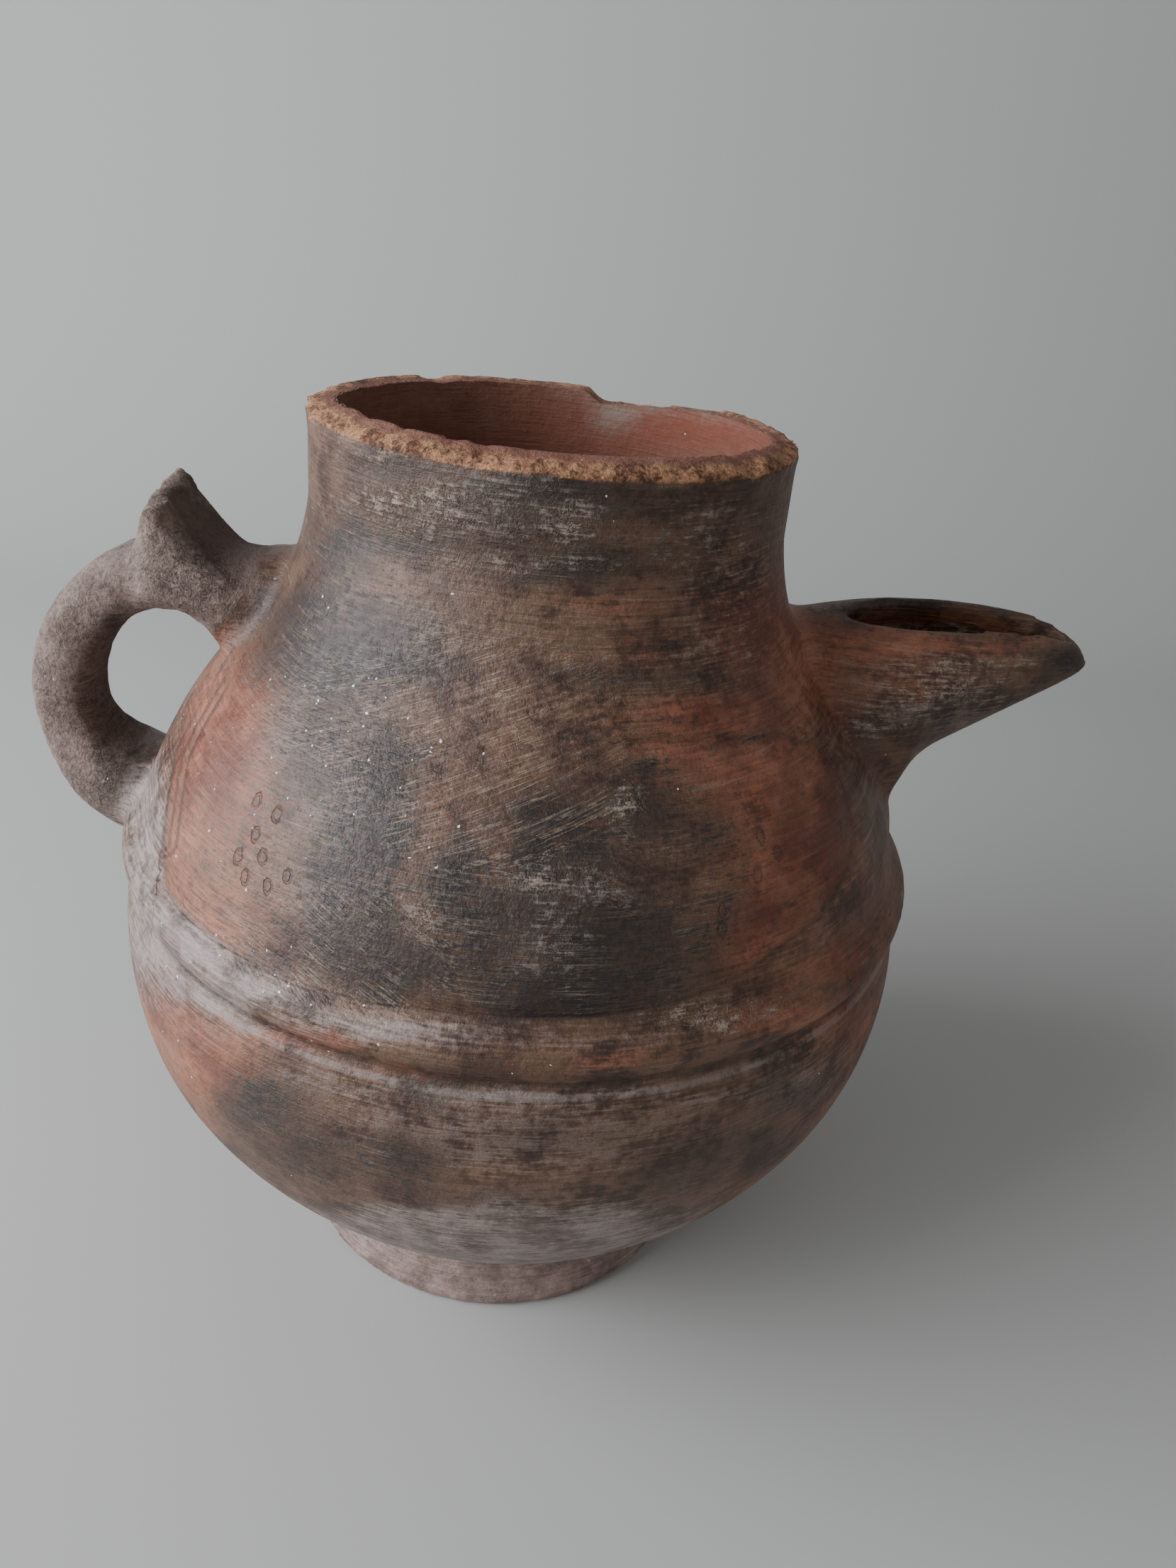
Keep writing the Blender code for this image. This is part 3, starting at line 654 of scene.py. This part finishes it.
# Lines scored in the clay, as runs of points in the photograph
panelEdge = [
    (262, 1010), (250, 1050), (243, 1090), (238, 1130), (235, 1180), (233, 1250), (262, 1290), (300, 1322),
    (350, 1352), (400, 1380), (450, 1400), (520, 1418), (600, 1428), (720, 1437), (850, 1435), (950, 1418),
    (1030, 1385), (1105, 1330), (1160, 1290), (1190, 1230), (1205, 1180), (1190, 1110), (1170, 1065),
    (1150, 1050), (1110, 1043), (1060, 1040), (1010, 1042), (960, 1040), (900, 1045),
]
stumpRidge = [(240, 640), (226, 674), (256, 734), (293, 789), (331, 834), (440, 842)]
scoredLine = [(336, 900), (306, 955), (268, 1020), (248, 1060), (238, 1120), (229, 1190)]


mouthPale = {
    "blotch": (872, 590, 40, 22, 1.0), "blotchSide": (960, 572, 70, 14, 0.7),
    "blotchFar": (1030, 590, 60, 22, 0.5), "lipBack": (800, 548, 60, 10, 0.5),
}
mouthRed = {
    "right": (990, 602, 110, 30, 1.0), "middle": (820, 600, 100, 40, 0.45), "low": (800, 625, 200, 16, 0.3),
}
dropMarks = [
    (391, 1149), (361, 1178), (336, 1209), (371, 1209), (346, 1237), (378, 1251), (406, 1236), (363, 1128),
    (1060, 1142), (1074, 1181), (1098, 1203), (1070, 1235), (1020, 1283), (1020, 1311),
]


def paintStrength(places, patches):
    # overlapping soft ovals; a strength above 1 widens the full part
    bare = np.ones(len(places))
    for x, y, wide, tall, strength in patches.values():
        gap = ((places[:, 0] - x) / wide) ** 2 + ((places[:, 1] - y) / tall) ** 2
        bare *= 1.0 - min(strength, 0.96) * np.exp(-0.75 * gap / max(strength, 1.0))
    return 1.0 - bare


def dropPlaces(jug):
    # where the drop marks of the photograph meet the clay, in metres
    side, top, forward = viewAxes()
    start = Vector(view["place"]) * mm
    found = []
    for x, y in dropMarks:
        across, down = (x - view["wide"] / 2) / view["focus"], (y - view["tall"] / 2) / view["focus"]
        ray = forward + side * across - top * down
        met, place, arrow, face = jug.ray_cast(start, ray.normalized())
        found.append(place)
    return found


def lineGap(places, run):
    # signed distance in picture points to a run of points: it changes sign across the line
    best, signed = np.full(len(places), 1e9), np.zeros(len(places))
    for (x0, y0), (x1, y1) in zip(run, run[1:]):
        along = np.array([x1 - x0, y1 - y0], dtype=float)
        rel = places - np.array([x0, y0])
        share = np.clip(rel @ along / (along @ along), 0.0, 1.0)
        off = rel - share[:, None] * along
        gap = np.hypot(off[:, 0], off[:, 1])
        side = np.sign(along[0] * rel[:, 1] - along[1] * rel[:, 0])
        closer = gap < best
        best[closer], signed[closer] = gap[closer], (gap * side)[closer]
    return signed


def addAttribute(piece, name, values):
    layer = piece.data.attributes.new(name=name, type="FLOAT", domain="POINT")
    layer.data.foreach_set("value", np.asarray(values, dtype=np.float32))


# How strongly the surface is worn, in millimetres of height
wear = {
    "wobble": 0.6, "wobbleSize": 48.0, "edgeDepth": 0.55, "edgeWidth": 9.0, "stepDepth": 0.6,
    "grit": 0.22, "gritSize": 3.0, "lipGrit": 0.75, "driftWide": 26.0, "driftTall": 16.0, "hollowDepth": 0.9,
    "lipFrom": 212.0, "stumpFrom": 190.0, "handleSide": -40.0, "stumpSide": -70.0,
    # the last three set where and how dark the painted shade inside the handle's loop is
    "loopSide": -66.0, "loopTop": 172.0, "loopShadeStrength": 0.62,
}


def stumpHollow(places, gritty):
    # the hollow face of the stump, to the right of its ridge
    gap = np.clip(0.5 - lineGap(places, stumpRidge) / 16.0, 0.0, 1.0)
    return gap * ease((425.0 - places[:, 0]) / 70.0) * ease((862.0 - places[:, 1]) / 14.0) * gritty


def shapeSurface(jug):
    # the wall is wobbled, scored, stepped under the belt, and broken up at the lip, the handle and the stump
    spots, arrows = readPoints(jug), readNormals(jug)
    places = picturePlaces(spots)
    radius = np.hypot(spots[:, 0], spots[:, 1])
    height = spots[:, 2]
    outward = (arrows[:, 0] * spots[:, 0] + arrows[:, 1] * spots[:, 1]) / np.maximum(radius, 1.0)
    overhang = radius - outline(height)
    onWall = ease(1.0 - (overhang - 3.0) / 6.0) * (outward > -0.2) * ease(height / 4.0)
    onLip = ease((height - wear["lipFrom"]) / 3.0) * ease((arrows[:, 2] - 0.2) / 0.3)
    gritty = np.maximum(ease((overhang - 4.0) / 6.0) * (spots[:, 0] < wear["handleSide"]), onLip)
    push = wear["wobble"] * lumpNoise(spots, wear["wobbleSize"], 1) * ease(height / 12.0)
    fine = lumpNoise(spots, wear["gritSize"], 2) + 0.6 * lumpNoise(spots, wear["gritSize"] * 0.5, 3)
    onStump = ease((height - wear["stumpFrom"]) / 4.0) * (spots[:, 0] < wear["stumpSide"])
    broken = np.maximum(onLip, onStump)
    smoother = 1.0 - 0.65 * onLip * ease((spots[:, 1] + 10.0) / 30.0)
    push += mix(wear["grit"], wear["lipGrit"], broken) * gritty * fine * smoother
    hollow = stumpHollow(places, gritty)
    push -= wear["hollowDepth"] * hollow
    edge = lineGap(places, panelEdge)
    push -= wear["edgeDepth"] * onWall * np.exp(-(edge / wear["edgeWidth"]) ** 2)
    stepGap = height - (body["beltLow"] - 0.6)
    push -= wear["stepDepth"] * onWall * np.exp(-(stepGap / 1.5) ** 2)
    push *= np.where(height > 0.5, 1.0, 0.0)
    writePoints(jug, spots + arrows * push[:, None])
    return gritty


def keepInside(jug):
    # nothing stands outside the frame's box
    low, high = (np.array(corner) / mm for corner in cadBox)
    writePoints(jug, np.clip(readPoints(jug), low, high))


def paintJug(jug, gritty):
    spots, arrows = readPoints(jug), readNormals(jug)
    radius = np.hypot(spots[:, 0], spots[:, 1])
    inward = -(arrows[:, 0] * spots[:, 0] + arrows[:, 1] * spots[:, 1]) / np.maximum(radius, 1.0)
    inside = ((radius < outline(spots[:, 2]) - 3.0) & (inward > -0.5)).astype(float)
    drift = np.stack([
        wear["driftWide"] * lumpNoise(spots, 15.0, 5) + 0.5 * wear["driftWide"] * lumpNoise(spots, 6.0, 6),
        wear["driftTall"] * lumpNoise(spots, 12.0, 7) + 0.5 * wear["driftTall"] * lumpNoise(spots, 5.0, 8),
    ], axis=1)
    places = picturePlaces(spots)
    drifted = places + drift
    # the inner side of the handle's loop, which faces the body and away from the window light, is darkened
    # through the soot layer: painted shade
    loopShade = wear["loopShadeStrength"] * ease(arrows[:, 0] * 1.6 - 0.15) * ease((wear["loopSide"] - spots[:, 0]) / 6.0)
    loopShade = loopShade * ease((wear["loopTop"] - spots[:, 2]) / 6.0) * gritty
    patchwork = {
        "sootAndShade": sootAndShade, "ember": ember, "chalk": chalk, "veil": veil, "rubUp": rubUp, "rubDown": rubDown,
        "mica": micaGlintSpots,
    }
    for name, patches in patchwork.items():
        strength = paintStrength(drifted, patches)
        if name == "sootAndShade":
            strength = np.maximum(strength, loopShade)
        addAttribute(jug, name, strength * (1.0 - inside))
    addAttribute(jug, "edgeGap", lineGap(places, panelEdge) / 7.0)
    addAttribute(jug, "scoreGap", lineGap(places, scoredLine) / 6.5)
    addAttribute(jug, "inside", inside)
    mouth = straightPlaces(spots) + drift
    addAttribute(jug, "mouthPale", paintStrength(mouth, mouthPale) * inside)
    addAttribute(jug, "mouthRed", paintStrength(mouth, mouthRed) * inside)
    addAttribute(jug, "grit", gritty)
    addAttribute(jug, "hollow", stumpHollow(places, gritty))


def countTriangles(piece):
    return sum(len(face.vertices) - 2 for face in piece.data.polygons)


def makeJug():
    jug = joinLumps([makeBody(), makeHandle(), makeStump(), makeSpout(), makeRolledLip()])
    print("lumps joined:", len(jug.data.vertices), "points")
    gritty = shapeSurface(jug)
    addAttribute(jug, "gritty", gritty)
    keepInside(jug)
    print("surface worn")
    carve(jug, makeHollow())
    carve(jug, makeChannel(spout["wall"] + 0.6, spout["channelStart"], spout["channelEnd"]))
    makeActive(jug)
    bpy.ops.object.shade_smooth_by_angle(angle=math.radians(50.0))
    # carving changes the points, so the grit is read back from the clay
    gritty = np.zeros(len(jug.data.vertices))
    jug.data.attributes["gritty"].data.foreach_get("value", gritty)
    paintJug(jug, gritty)
    jug.data.attributes.remove(jug.data.attributes["gritty"])
    print("hollow carved and painted:", len(jug.data.vertices), "points,", countTriangles(jug), "triangles")
    return jug


def linear(code):
    channels = [int(code[i:i + 2], 16) / 255.0 for i in (1, 3, 5)]
    return tuple(c / 12.92 if c <= 0.04045 else ((c + 0.055) / 1.055) ** 2.4 for c in channels) + (1.0,)


def addNode(tree, kind, *feeds, **settings):
    # adds a node with its settings; the feeds are values, nodes or sockets and fill its inputs in order
    made = tree.nodes.new("ShaderNode" + kind)
    for key, value in settings.items():
        setattr(made, key, value)
    for socket, value in zip([s for s in made.inputs if s.enabled], feeds):
        if isinstance(value, bpy.types.Node):
            value = next(s for s in value.outputs if s.enabled)
        if isinstance(value, bpy.types.NodeSocket):
            tree.links.new(value, socket)
        else:
            socket.default_value = value
    return made


# Burnished terracotta: low-fired clay, rubbed with a pebble and smoked in an open fire. It looks brown to
# orange under soot clouds, with a dull sheen in fine rubbed strokes, chalky deposits and specks of mica.
# The mica specks are painted near white as glints: painted highlights. Grain, strokes and mica are drawn coarser
# than real clay has them, or the picture wouldn't show them.
clayLook = {
    "earthDark": "#412B20", "earthPale": "#785943", "emberDark": "#6C3624", "emberPale": "#A0664C",
    "sootDark": "#1F1815", "sootPale": "#45352B", "veilDark": "#66574F", "veilPale": "#938680",
    "chalk": "#9C8B7D", "gritDark": "#4F3F37", "gritPale": "#98857A", "lipDark": "#54321F",
    "lipPale": "#B58562", "footDark": "#77625A", "footPale": "#9E877D", "hollow": "#62514A",
    "insideDark": "#6E4638", "insidePale": "#835C4B", "insideRed": "#7A4433", "insideChalk": "#86756A",
    "rub": "#A9937F",
    "score": "#2E211B", "mica": "#F2F4F5", "mottleSize": 10.0, "patchSize": 26.0, "flakeSize": 2.0,
    "curlSize": 2.4, "grainSize": 0.75, "strokeLength": 22.0, "strokeWidth": 0.7, "dashLength": 6.0,
    "dashWidth": 0.6, "glintSpacing": 1.7, "roughBurnished": 0.48, "roughSoot": 0.44, "roughSheen": 0.38,
    "roughChalk": 0.85, "roughGrit": 0.9, "shine": 0.45,
}


# Heights in metres where the clay's colours change, each from none to full, a band from none to none
levels = {
    "footTop": (0.0185, 0.0155), "sootAndShadeLow": (0.006, 0.026), "panelTop": (0.17, 0.16), "scoredTop": (0.166, 0.161),
    "lip": (0.208, 0.213), "stepShadeLow": (0.1118, 0.1132), "stepShadeTop": (0.1152, 0.1136),
    "ledgeHighlight": (0.1097, 0.1105, 0.1111, 0.1119),
}


def makeClay(marks):
    clay = bpy.data.materials.new("burnishedTerracotta")
    clay.use_nodes = True
    tree = clay.node_tree
    shader = tree.nodes["Principled BSDF"]
    look = clayLook
    add = partial(addNode, tree)
    soft = {"interpolation_type": "SMOOTHSTEP"}
    product, scaled = {"operation": "MULTIPLY"}, {"operation": "MULTIPLY_ADD"}
    spot = add("TexCoord").outputs["Object"]
    high = add("SeparateXYZ", spot).outputs["Z"]
    names = (
        "sootAndShade", "ember", "chalk", "veil", "rubUp", "rubDown", "mica", "edgeGap", "scoreGap", "inside",
        "mouthPale", "mouthRed", "grit", "hollow")
    paint = {name: add("Attribute", attribute_name=name).outputs["Fac"] for name in names}

    def strokes(turn, seed, long, thin, detail=4.0, rough=0.62):
        turned = add("VectorRotate", spot, (0.0, 0.0, 0.0), math.radians(turn), rotation_type="Y_AXIS")
        stretch = (1000.0 / long, 1000.0 / long, 1000.0 / thin)
        mapped = add("Mapping", turned, (seed, seed, seed), (0.0, 0.0, 0.0), stretch)
        return add("TexNoise", mapped, 1.0, detail, rough)

    def gather(base, *parts):
        # a base plus each noise about its middle, times its share
        for value, share in parts:
            base = add("Math", add("Math", value, share, -0.5 * share, **scaled), base, operation="ADD")
        return base

    def gapTo(value, middle):
        return add("Math", add("Math", value, middle, operation="SUBTRACT"), operation="ABSOLUTE")

    def overlap(first, *others):
        # where all the masks hold
        for other in others:
            first = add("Math", first, other, **product)
        return first

    def laid(base, layers):
        # each layer is a share and a cover: a node or a colour of the dictionary
        for share, cover in layers:
            cover = linear(look[cover]) if isinstance(cover, str) else cover
            base = add("Mix", share, base, cover, data_type="RGBA")
        return base

    mottle = add("TexNoise", spot, 1000.0 / look["mottleSize"], 8.0, 0.66)
    patchy = add("TexNoise", spot, 1000.0 / look["patchSize"], 8.0, 0.62)
    flake = add("TexNoise", spot, 1000.0 / look["flakeSize"], 5.0, 0.7)
    grain = add("TexNoise", spot, 1000.0 / look["grainSize"], 2.0, 0.6)
    curl = add("TexNoise", spot, 1000.0 / look["curlSize"], 3.0, 0.5, 2.0, 1.4)
    dash = strokes(0.0, 7.0, look["dashLength"], look["dashWidth"])
    sizes = look["strokeLength"], look["strokeWidth"]
    stroke = strokes(0.0, 3.0, *sizes)
    for name, turn, seed in (("rubUp", 22.0, 11.0), ("rubDown", -26.0, 17.0)):
        crisp = strokes(turn, seed, *sizes, 3.0, 0.52)
        stroke = add("Mix", add("MapRange", paint[name], 0.2, 0.7, **soft), stroke, crisp)
    rubbed = add("Math", paint["rubUp"], paint["rubDown"], operation="MAXIMUM")
    # thin worms where a noise crosses its middle
    worms = []
    crossings = ((stroke, 0.5, 0.024), (dash, 0.47, 0.022), (curl, 0.53, 0.03), (curl, 0.47, 0.04))
    for value, middle, wide in crossings:
        worms.append(add("MapRange", gapTo(value, middle), wide, 0.003, **soft))
    paleHair, darkHair, crack, scale = worms
    breakUp = gather(0.0, (mottle, 1.7), (flake, 2.6), (stroke, 1.5), (dash, 2.2))

    def mask(name, low, top, share):
        # a painted patch with a broken border
        return add("MapRange", add("Math", breakUp, share, paint[name], **scaled), low, top, **soft)

    def shades(value, low, top, dark, pale):
        # from one colour of the dictionary to another as the value rises
        ramp = add("MapRange", value, low, top, **soft)
        return add("Mix", ramp, linear(look[dark]), linear(look[pale]), data_type="RGBA")

    def band(value, *edges):
        # one between the two inner edges and zero beyond the outer ones
        low, lowFull, topFull, top = edges
        return overlap(
            add("MapRange", value, low, lowFull, **soft), add("MapRange", value, top, topFull, **soft))

    gap = paint["edgeGap"]
    beyond = overlap(band(gap, -0.2, 0.2, 4.0, 8.0), add("MapRange", high, *levels["panelTop"], **soft))
    within = band(gap, -6.0, -2.0, -0.2, 0.2)
    emberMask = overlap(mask("ember", 0.02, 1.05, 0.4), add("Math", beyond, -0.75, 1.0, **scaled))
    veilMask = overlap(mask("veil", 0.2, 0.9, 0.4), add("Math", within, -1.0, 1.0, **scaled))
    sootAndShadeAmount = add("Math", paint["ember"], -0.16, paint["sootAndShade"], **scaled)
    sootAndShadeAmount = add("Math", paint["veil"], -0.28, sootAndShadeAmount, **scaled)
    sootAndShadeFilm = add("Math", breakUp, 0.8, sootAndShadeAmount, **scaled)
    sootAndShadeMask = overlap(
        add("MapRange", sootAndShadeFilm, 0.0, 0.82, **soft), add("Math", beyond, -0.55, 1.0, **scaled),
        add("MapRange", high, *levels["sootAndShadeLow"], **soft))
    crust = add("MapRange", gather(0.5, (dash, 1.0), (flake, 1.0)), 0.48, 0.62, **soft)
    chalkMask = overlap(mask("chalk", 0.25, 1.0, 0.6), add("Math", crust, scale, operation="MAXIMUM"))
    footMask = add("MapRange", gather(high, (mottle, 0.006)), *levels["footTop"], **soft)

    colour = linear(look["earthDark"])
    films = (
        (1.0, mottle, 0.36, 0.64, "earthDark", "earthPale"),
        (emberMask, patchy, 0.36, 0.64, "emberDark", "emberPale"),
        (veilMask, gather(0.5, (mottle, 1.0), (dash, 0.5)), 0.3, 0.68, "veilDark", "veilPale"),
        (sootAndShadeMask, sootAndShadeFilm, 1.1, 0.3, "sootDark", "sootPale"),
        (overlap(footMask, 0.8), mottle, 0.34, 0.66, "footDark", "footPale"),
    )
    for share, *film in films:
        colour = add("Mix", share, colour, shades(*film), data_type="RGBA")
    calm = 1.0
    for share, value in ((-0.3, footMask), (-0.5, emberMask), (-0.35, veilMask)):
        calm = add("Math", value, share, calm, **scaled)
    shade = add("Math", 2.0, gather(-0.1, (stroke, 2.5), (flake, 3.6), (dash, 2.6)), operation="POWER")
    grey = add("CombineColor", shade, shade, shade)
    colour = add("Mix", calm, colour, grey, data_type="RGBA", blend_type="MULTIPLY")

    # rubbed lines, fine cracks, chalk, the gritty handle and lip
    gritMask = add("MapRange", paint["grit"], 0.2, 0.8, **soft)
    lipMask = overlap(gritMask, add("MapRange", high, *levels["lip"], **soft))
    crumbs = gather(0.5, (grain, 0.5), (flake, 1.0), (mottle, 1.0))
    rubbedHair = overlap(paleHair, add("Math", rubbed, 0.62, 0.1, **scaled))
    broad = overlap(add("MapRange", stroke, 0.56, 0.7, **soft), 0.3)
    rubLine = overlap(
        add("Math", rubbedHair, broad, operation="ADD"), add("MapRange", mottle, 0.38, 0.6, **soft))
    hollow = overlap(add("MapRange", paint["hollow"], 0.4, 0.6, **soft), gritMask)
    cracked = add("Math", paint["chalk"], 0.5, add("Math", gritMask, 0.3, 0.04, **scaled), **scaled)
    covers = (
        (rubLine, "rub"),
        (overlap(darkHair, 0.32), "score"),
        (overlap(chalkMask, 0.85), "chalk"),
        (
            overlap(gritMask, add("Math", sootAndShadeMask, -0.7, 0.92, **scaled)),
            shades(crumbs, 0.1, 0.9, "gritDark", "gritPale")),
        # the stump's hollow face takes a smooth tone darker than its grit: painted shade in the hollow
        (overlap(hollow, 0.85), "hollow"),
        (lipMask, shades(crumbs, 0.3, 0.68, "lipDark", "lipPale")),
        (overlap(crack, cracked), "score"),
    )
    colour = laid(colour, covers)

    # scored lines, the panel's edge, the step under the belt and the drop marks; the lines, the edge and the step
    # are darkened as painted shade in their grooves
    faint = add("MapRange", gather(0.5, (mottle, 1.0), (flake, 0.4)), 0.36, 0.52, **soft)
    # the scored lines are darkened in their grooves: painted shade
    lines = 0.0
    for shift in (0.0, 1.5, 3.0):
        line = add("MapRange", gapTo(paint["scoreGap"], -shift), 0.6, 0.1, **soft)
        lines = add("Math", lines, line, operation="MAXIMUM")
    lines = overlap(lines, add("MapRange", high, *levels["scoredTop"], **soft), faint)
    # a dark line along the groove at the panel's edge: painted shade
    edge = add("MapRange", add("Math", gap, operation="ABSOLUTE"), 0.9, 0.1, **soft)
    edge = overlap(edge, add("Math", faint, 0.65, 0.35, **scaled))
    # a dark line in the groove under the belt's step: painted shade
    level = gather(high, (mottle, 0.0018))
    step = overlap(
        add("MapRange", level, *levels["stepShadeLow"], **soft), add("MapRange", high, *levels["stepShadeTop"], **soft))
    squash = 0.62
    drops, nearest = add("VectorMath", spot, (1.0, 1.0, squash), operation="MULTIPLY"), 1.0
    for mark in marks:
        away = add("VectorMath", drops, (mark.x, mark.y, mark.z * squash), operation="DISTANCE")
        nearest = add("Math", nearest, away, operation="MINIMUM")
    nearest = gather(nearest, (flake, 0.0016), (mottle, 0.0018))
    ring = overlap(add("MapRange", gapTo(nearest, 0.001), 0.0004, 0.0001, **soft), faint)
    core = add("MapRange", nearest, 0.0011, 0.0004, **soft)
    dark = 0.0
    for share, value in ((0.6, lines), (0.3, edge), (0.5, step), (0.38, ring), (0.2, core)):
        dark = add("Math", dark, overlap(value, share), operation="MAXIMUM")
    # a pale line along the small ridge under the belt's step: painted highlight
    ledgeHighlight = overlap(band(high, *levels["ledgeHighlight"]), faint, 0.45)

    # the inside of the mouth, and mica specks painted near white where a cell is lucky: painted glints
    inner = laid(
        shades(mottle, 0.3, 0.7, "insideDark", "insidePale"),
        ((paint["mouthRed"], "insideRed"), (mask("mouthPale", 0.2, 1.1, 0.4), "insideChalk")))
    cells = add("TexVoronoi", spot, 1000.0 / look["glintSpacing"])
    speck = add("Math", gather(cells.outputs["Distance"], (grain, 0.8)), 0.09, operation="LESS_THAN")
    lucky = add("SeparateColor", cells.outputs["Color"])
    chance = add("Math", paint["mica"], 0.5, 0.01, **scaled)
    glint = overlap(speck, add("Math", lucky, chance, operation="LESS_THAN"))
    colour = laid(colour, ((dark, "score"), (ledgeHighlight, "veilPale"), (paint["inside"], inner), (glint, "mica")))

    rough = look["roughBurnished"]
    matt = add("Math", gritMask, paint["inside"], operation="MAXIMUM")
    dulled = {"roughSoot": sootAndShadeMask, "roughSheen": paint["mica"], "roughChalk": chalkMask, "roughGrit": matt}
    for name, share in dulled.items():
        rough = add("Mix", share, rough, look[name])
    rough = add("Mix", glint, gather(rough, (flake, 0.6), (dash, 0.35)), 0.15)

    # heights in millimetres
    height = 0.0
    reliefs = (
        (stroke, 0.22), (dash, 0.2), (flake, 0.36), (overlap(crack, paint["chalk"]), -0.16), (grain, 0.1),
        (chalkMask, 0.16), (overlap(grain, gritMask), 0.25), (overlap(flake, paint["chalk"]), 0.5),
        (overlap(flake, gritMask), 0.5), (lines, -0.3), (ring, -0.25), (edge, -0.2),
    )
    for value, size in reliefs:
        height = add("Math", value, size, height, **scaled)
    shader.inputs["Specular IOR Level"].default_value = look["shine"]
    bump = add("Bump", 1.0, mm)
    tree.links.new(height.outputs["Value"], bump.inputs["Height"])
    for made, socket in ((colour, "Base Color"), (rough, "Roughness"), (bump, "Normal")):
        tree.links.new(next(s for s in made.outputs if s.enabled), shader.inputs[socket])
    return clay


jug = makeJug()
jug.data.materials.clear()
jug.data.materials.append(makeClay(dropPlaces(jug)))
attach(jug, "root")
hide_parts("jug")

# Studio: a pale sweep, a window-like light from the upper left and a weak fill, in metres
studio = {
    "wide": 3.2, "near": -0.75, "flat": 1.2, "bend": 0.35, "length": 2.2, "bands": 60, "cloth": "#B5B4B0",
    "keySize": 0.85, "keyPower": 22.5, "keyPlace": (-0.86, -0.27, 0.47), "keyColour": "#F4F7FF",
    "fillSize": 0.6, "fillPower": 0.9, "fillPlace": (0.5, -0.8, 0.5), "fillColour": "#FFF2E4",
    "aim": (0.0, 0.0, 0.11), "sky": 0.39, "skyColour": "#DCE1E6",
}


def makeStage():
    # a flat floor that bends up into a wall
    deselectAll()
    bands = studio["bands"]
    bpy.ops.mesh.primitive_grid_add(x_subdivisions=4, y_subdivisions=bands, size=1.0)
    floor = bpy.context.object
    floor.name = "paleSweep"
    near, flat, bend = studio["near"], studio["flat"], studio["bend"]
    spots = []
    for j in range(bands + 1):
        run = j / bands * studio["length"]
        if run < flat:
            y, z = run + near, 0.0
        elif run < flat + bend * math.pi / 2:
            turn = (run - flat) / bend
            y, z = flat + near + bend * math.sin(turn), bend * (1.0 - math.cos(turn))
        else:
            y, z = flat + near + bend, bend + (run - flat - bend * math.pi / 2) * 2.0
        spots += [((i / 4 - 0.5) * studio["wide"], y, z) for i in range(5)]
    floor.data.vertices.foreach_set("co", np.array(spots, dtype=np.float32).ravel())
    floor.data.update()
    makeActive(floor)
    bpy.ops.object.shade_smooth()
    pale = bpy.data.materials.new("paleBackdrop")
    pale.use_nodes = True
    pale.node_tree.nodes["Principled BSDF"].inputs["Base Color"].default_value = linear(studio["cloth"])
    pale.node_tree.nodes["Principled BSDF"].inputs["Roughness"].default_value = 0.9
    floor.data.materials.append(pale)


def makeLight(name, kind):
    place = studio[kind + "Place"]
    bpy.ops.object.light_add(type="AREA", location=place)
    lamp = bpy.context.object
    lamp.name = name
    lamp.data.energy = studio[kind + "Power"]
    lamp.data.size = studio[kind + "Size"]
    lamp.data.color = linear(studio[kind + "Colour"])[:3]
    lamp.rotation_euler = (Vector(studio["aim"]) - Vector(place)).to_track_quat("-Z", "Y").to_euler()


def makeCamera():
    side, top, forward = viewAxes()
    place = Matrix((side, top, -forward)).transposed().to_4x4()
    place.translation = Vector(view["place"]) * mm
    bpy.ops.object.camera_add()
    camera = bpy.context.object
    camera.matrix_world = place
    camera.data.sensor_width = 36.0
    camera.data.lens = camera.data.sensor_width * view["focus"] / view["tall"]
    camera.data.clip_start = 0.01
    bpy.context.scene.camera = camera


makeStage()
makeLight("window", "key")
makeLight("fill", "fill")
world = bpy.context.scene.world or bpy.data.worlds.new("studioAir")
bpy.context.scene.world = world
world.use_nodes = True
world.node_tree.nodes["Background"].inputs["Color"].default_value = linear(studio["skyColour"])
world.node_tree.nodes["Background"].inputs["Strength"].default_value = studio["sky"]
makeCamera()
print("studio ready")
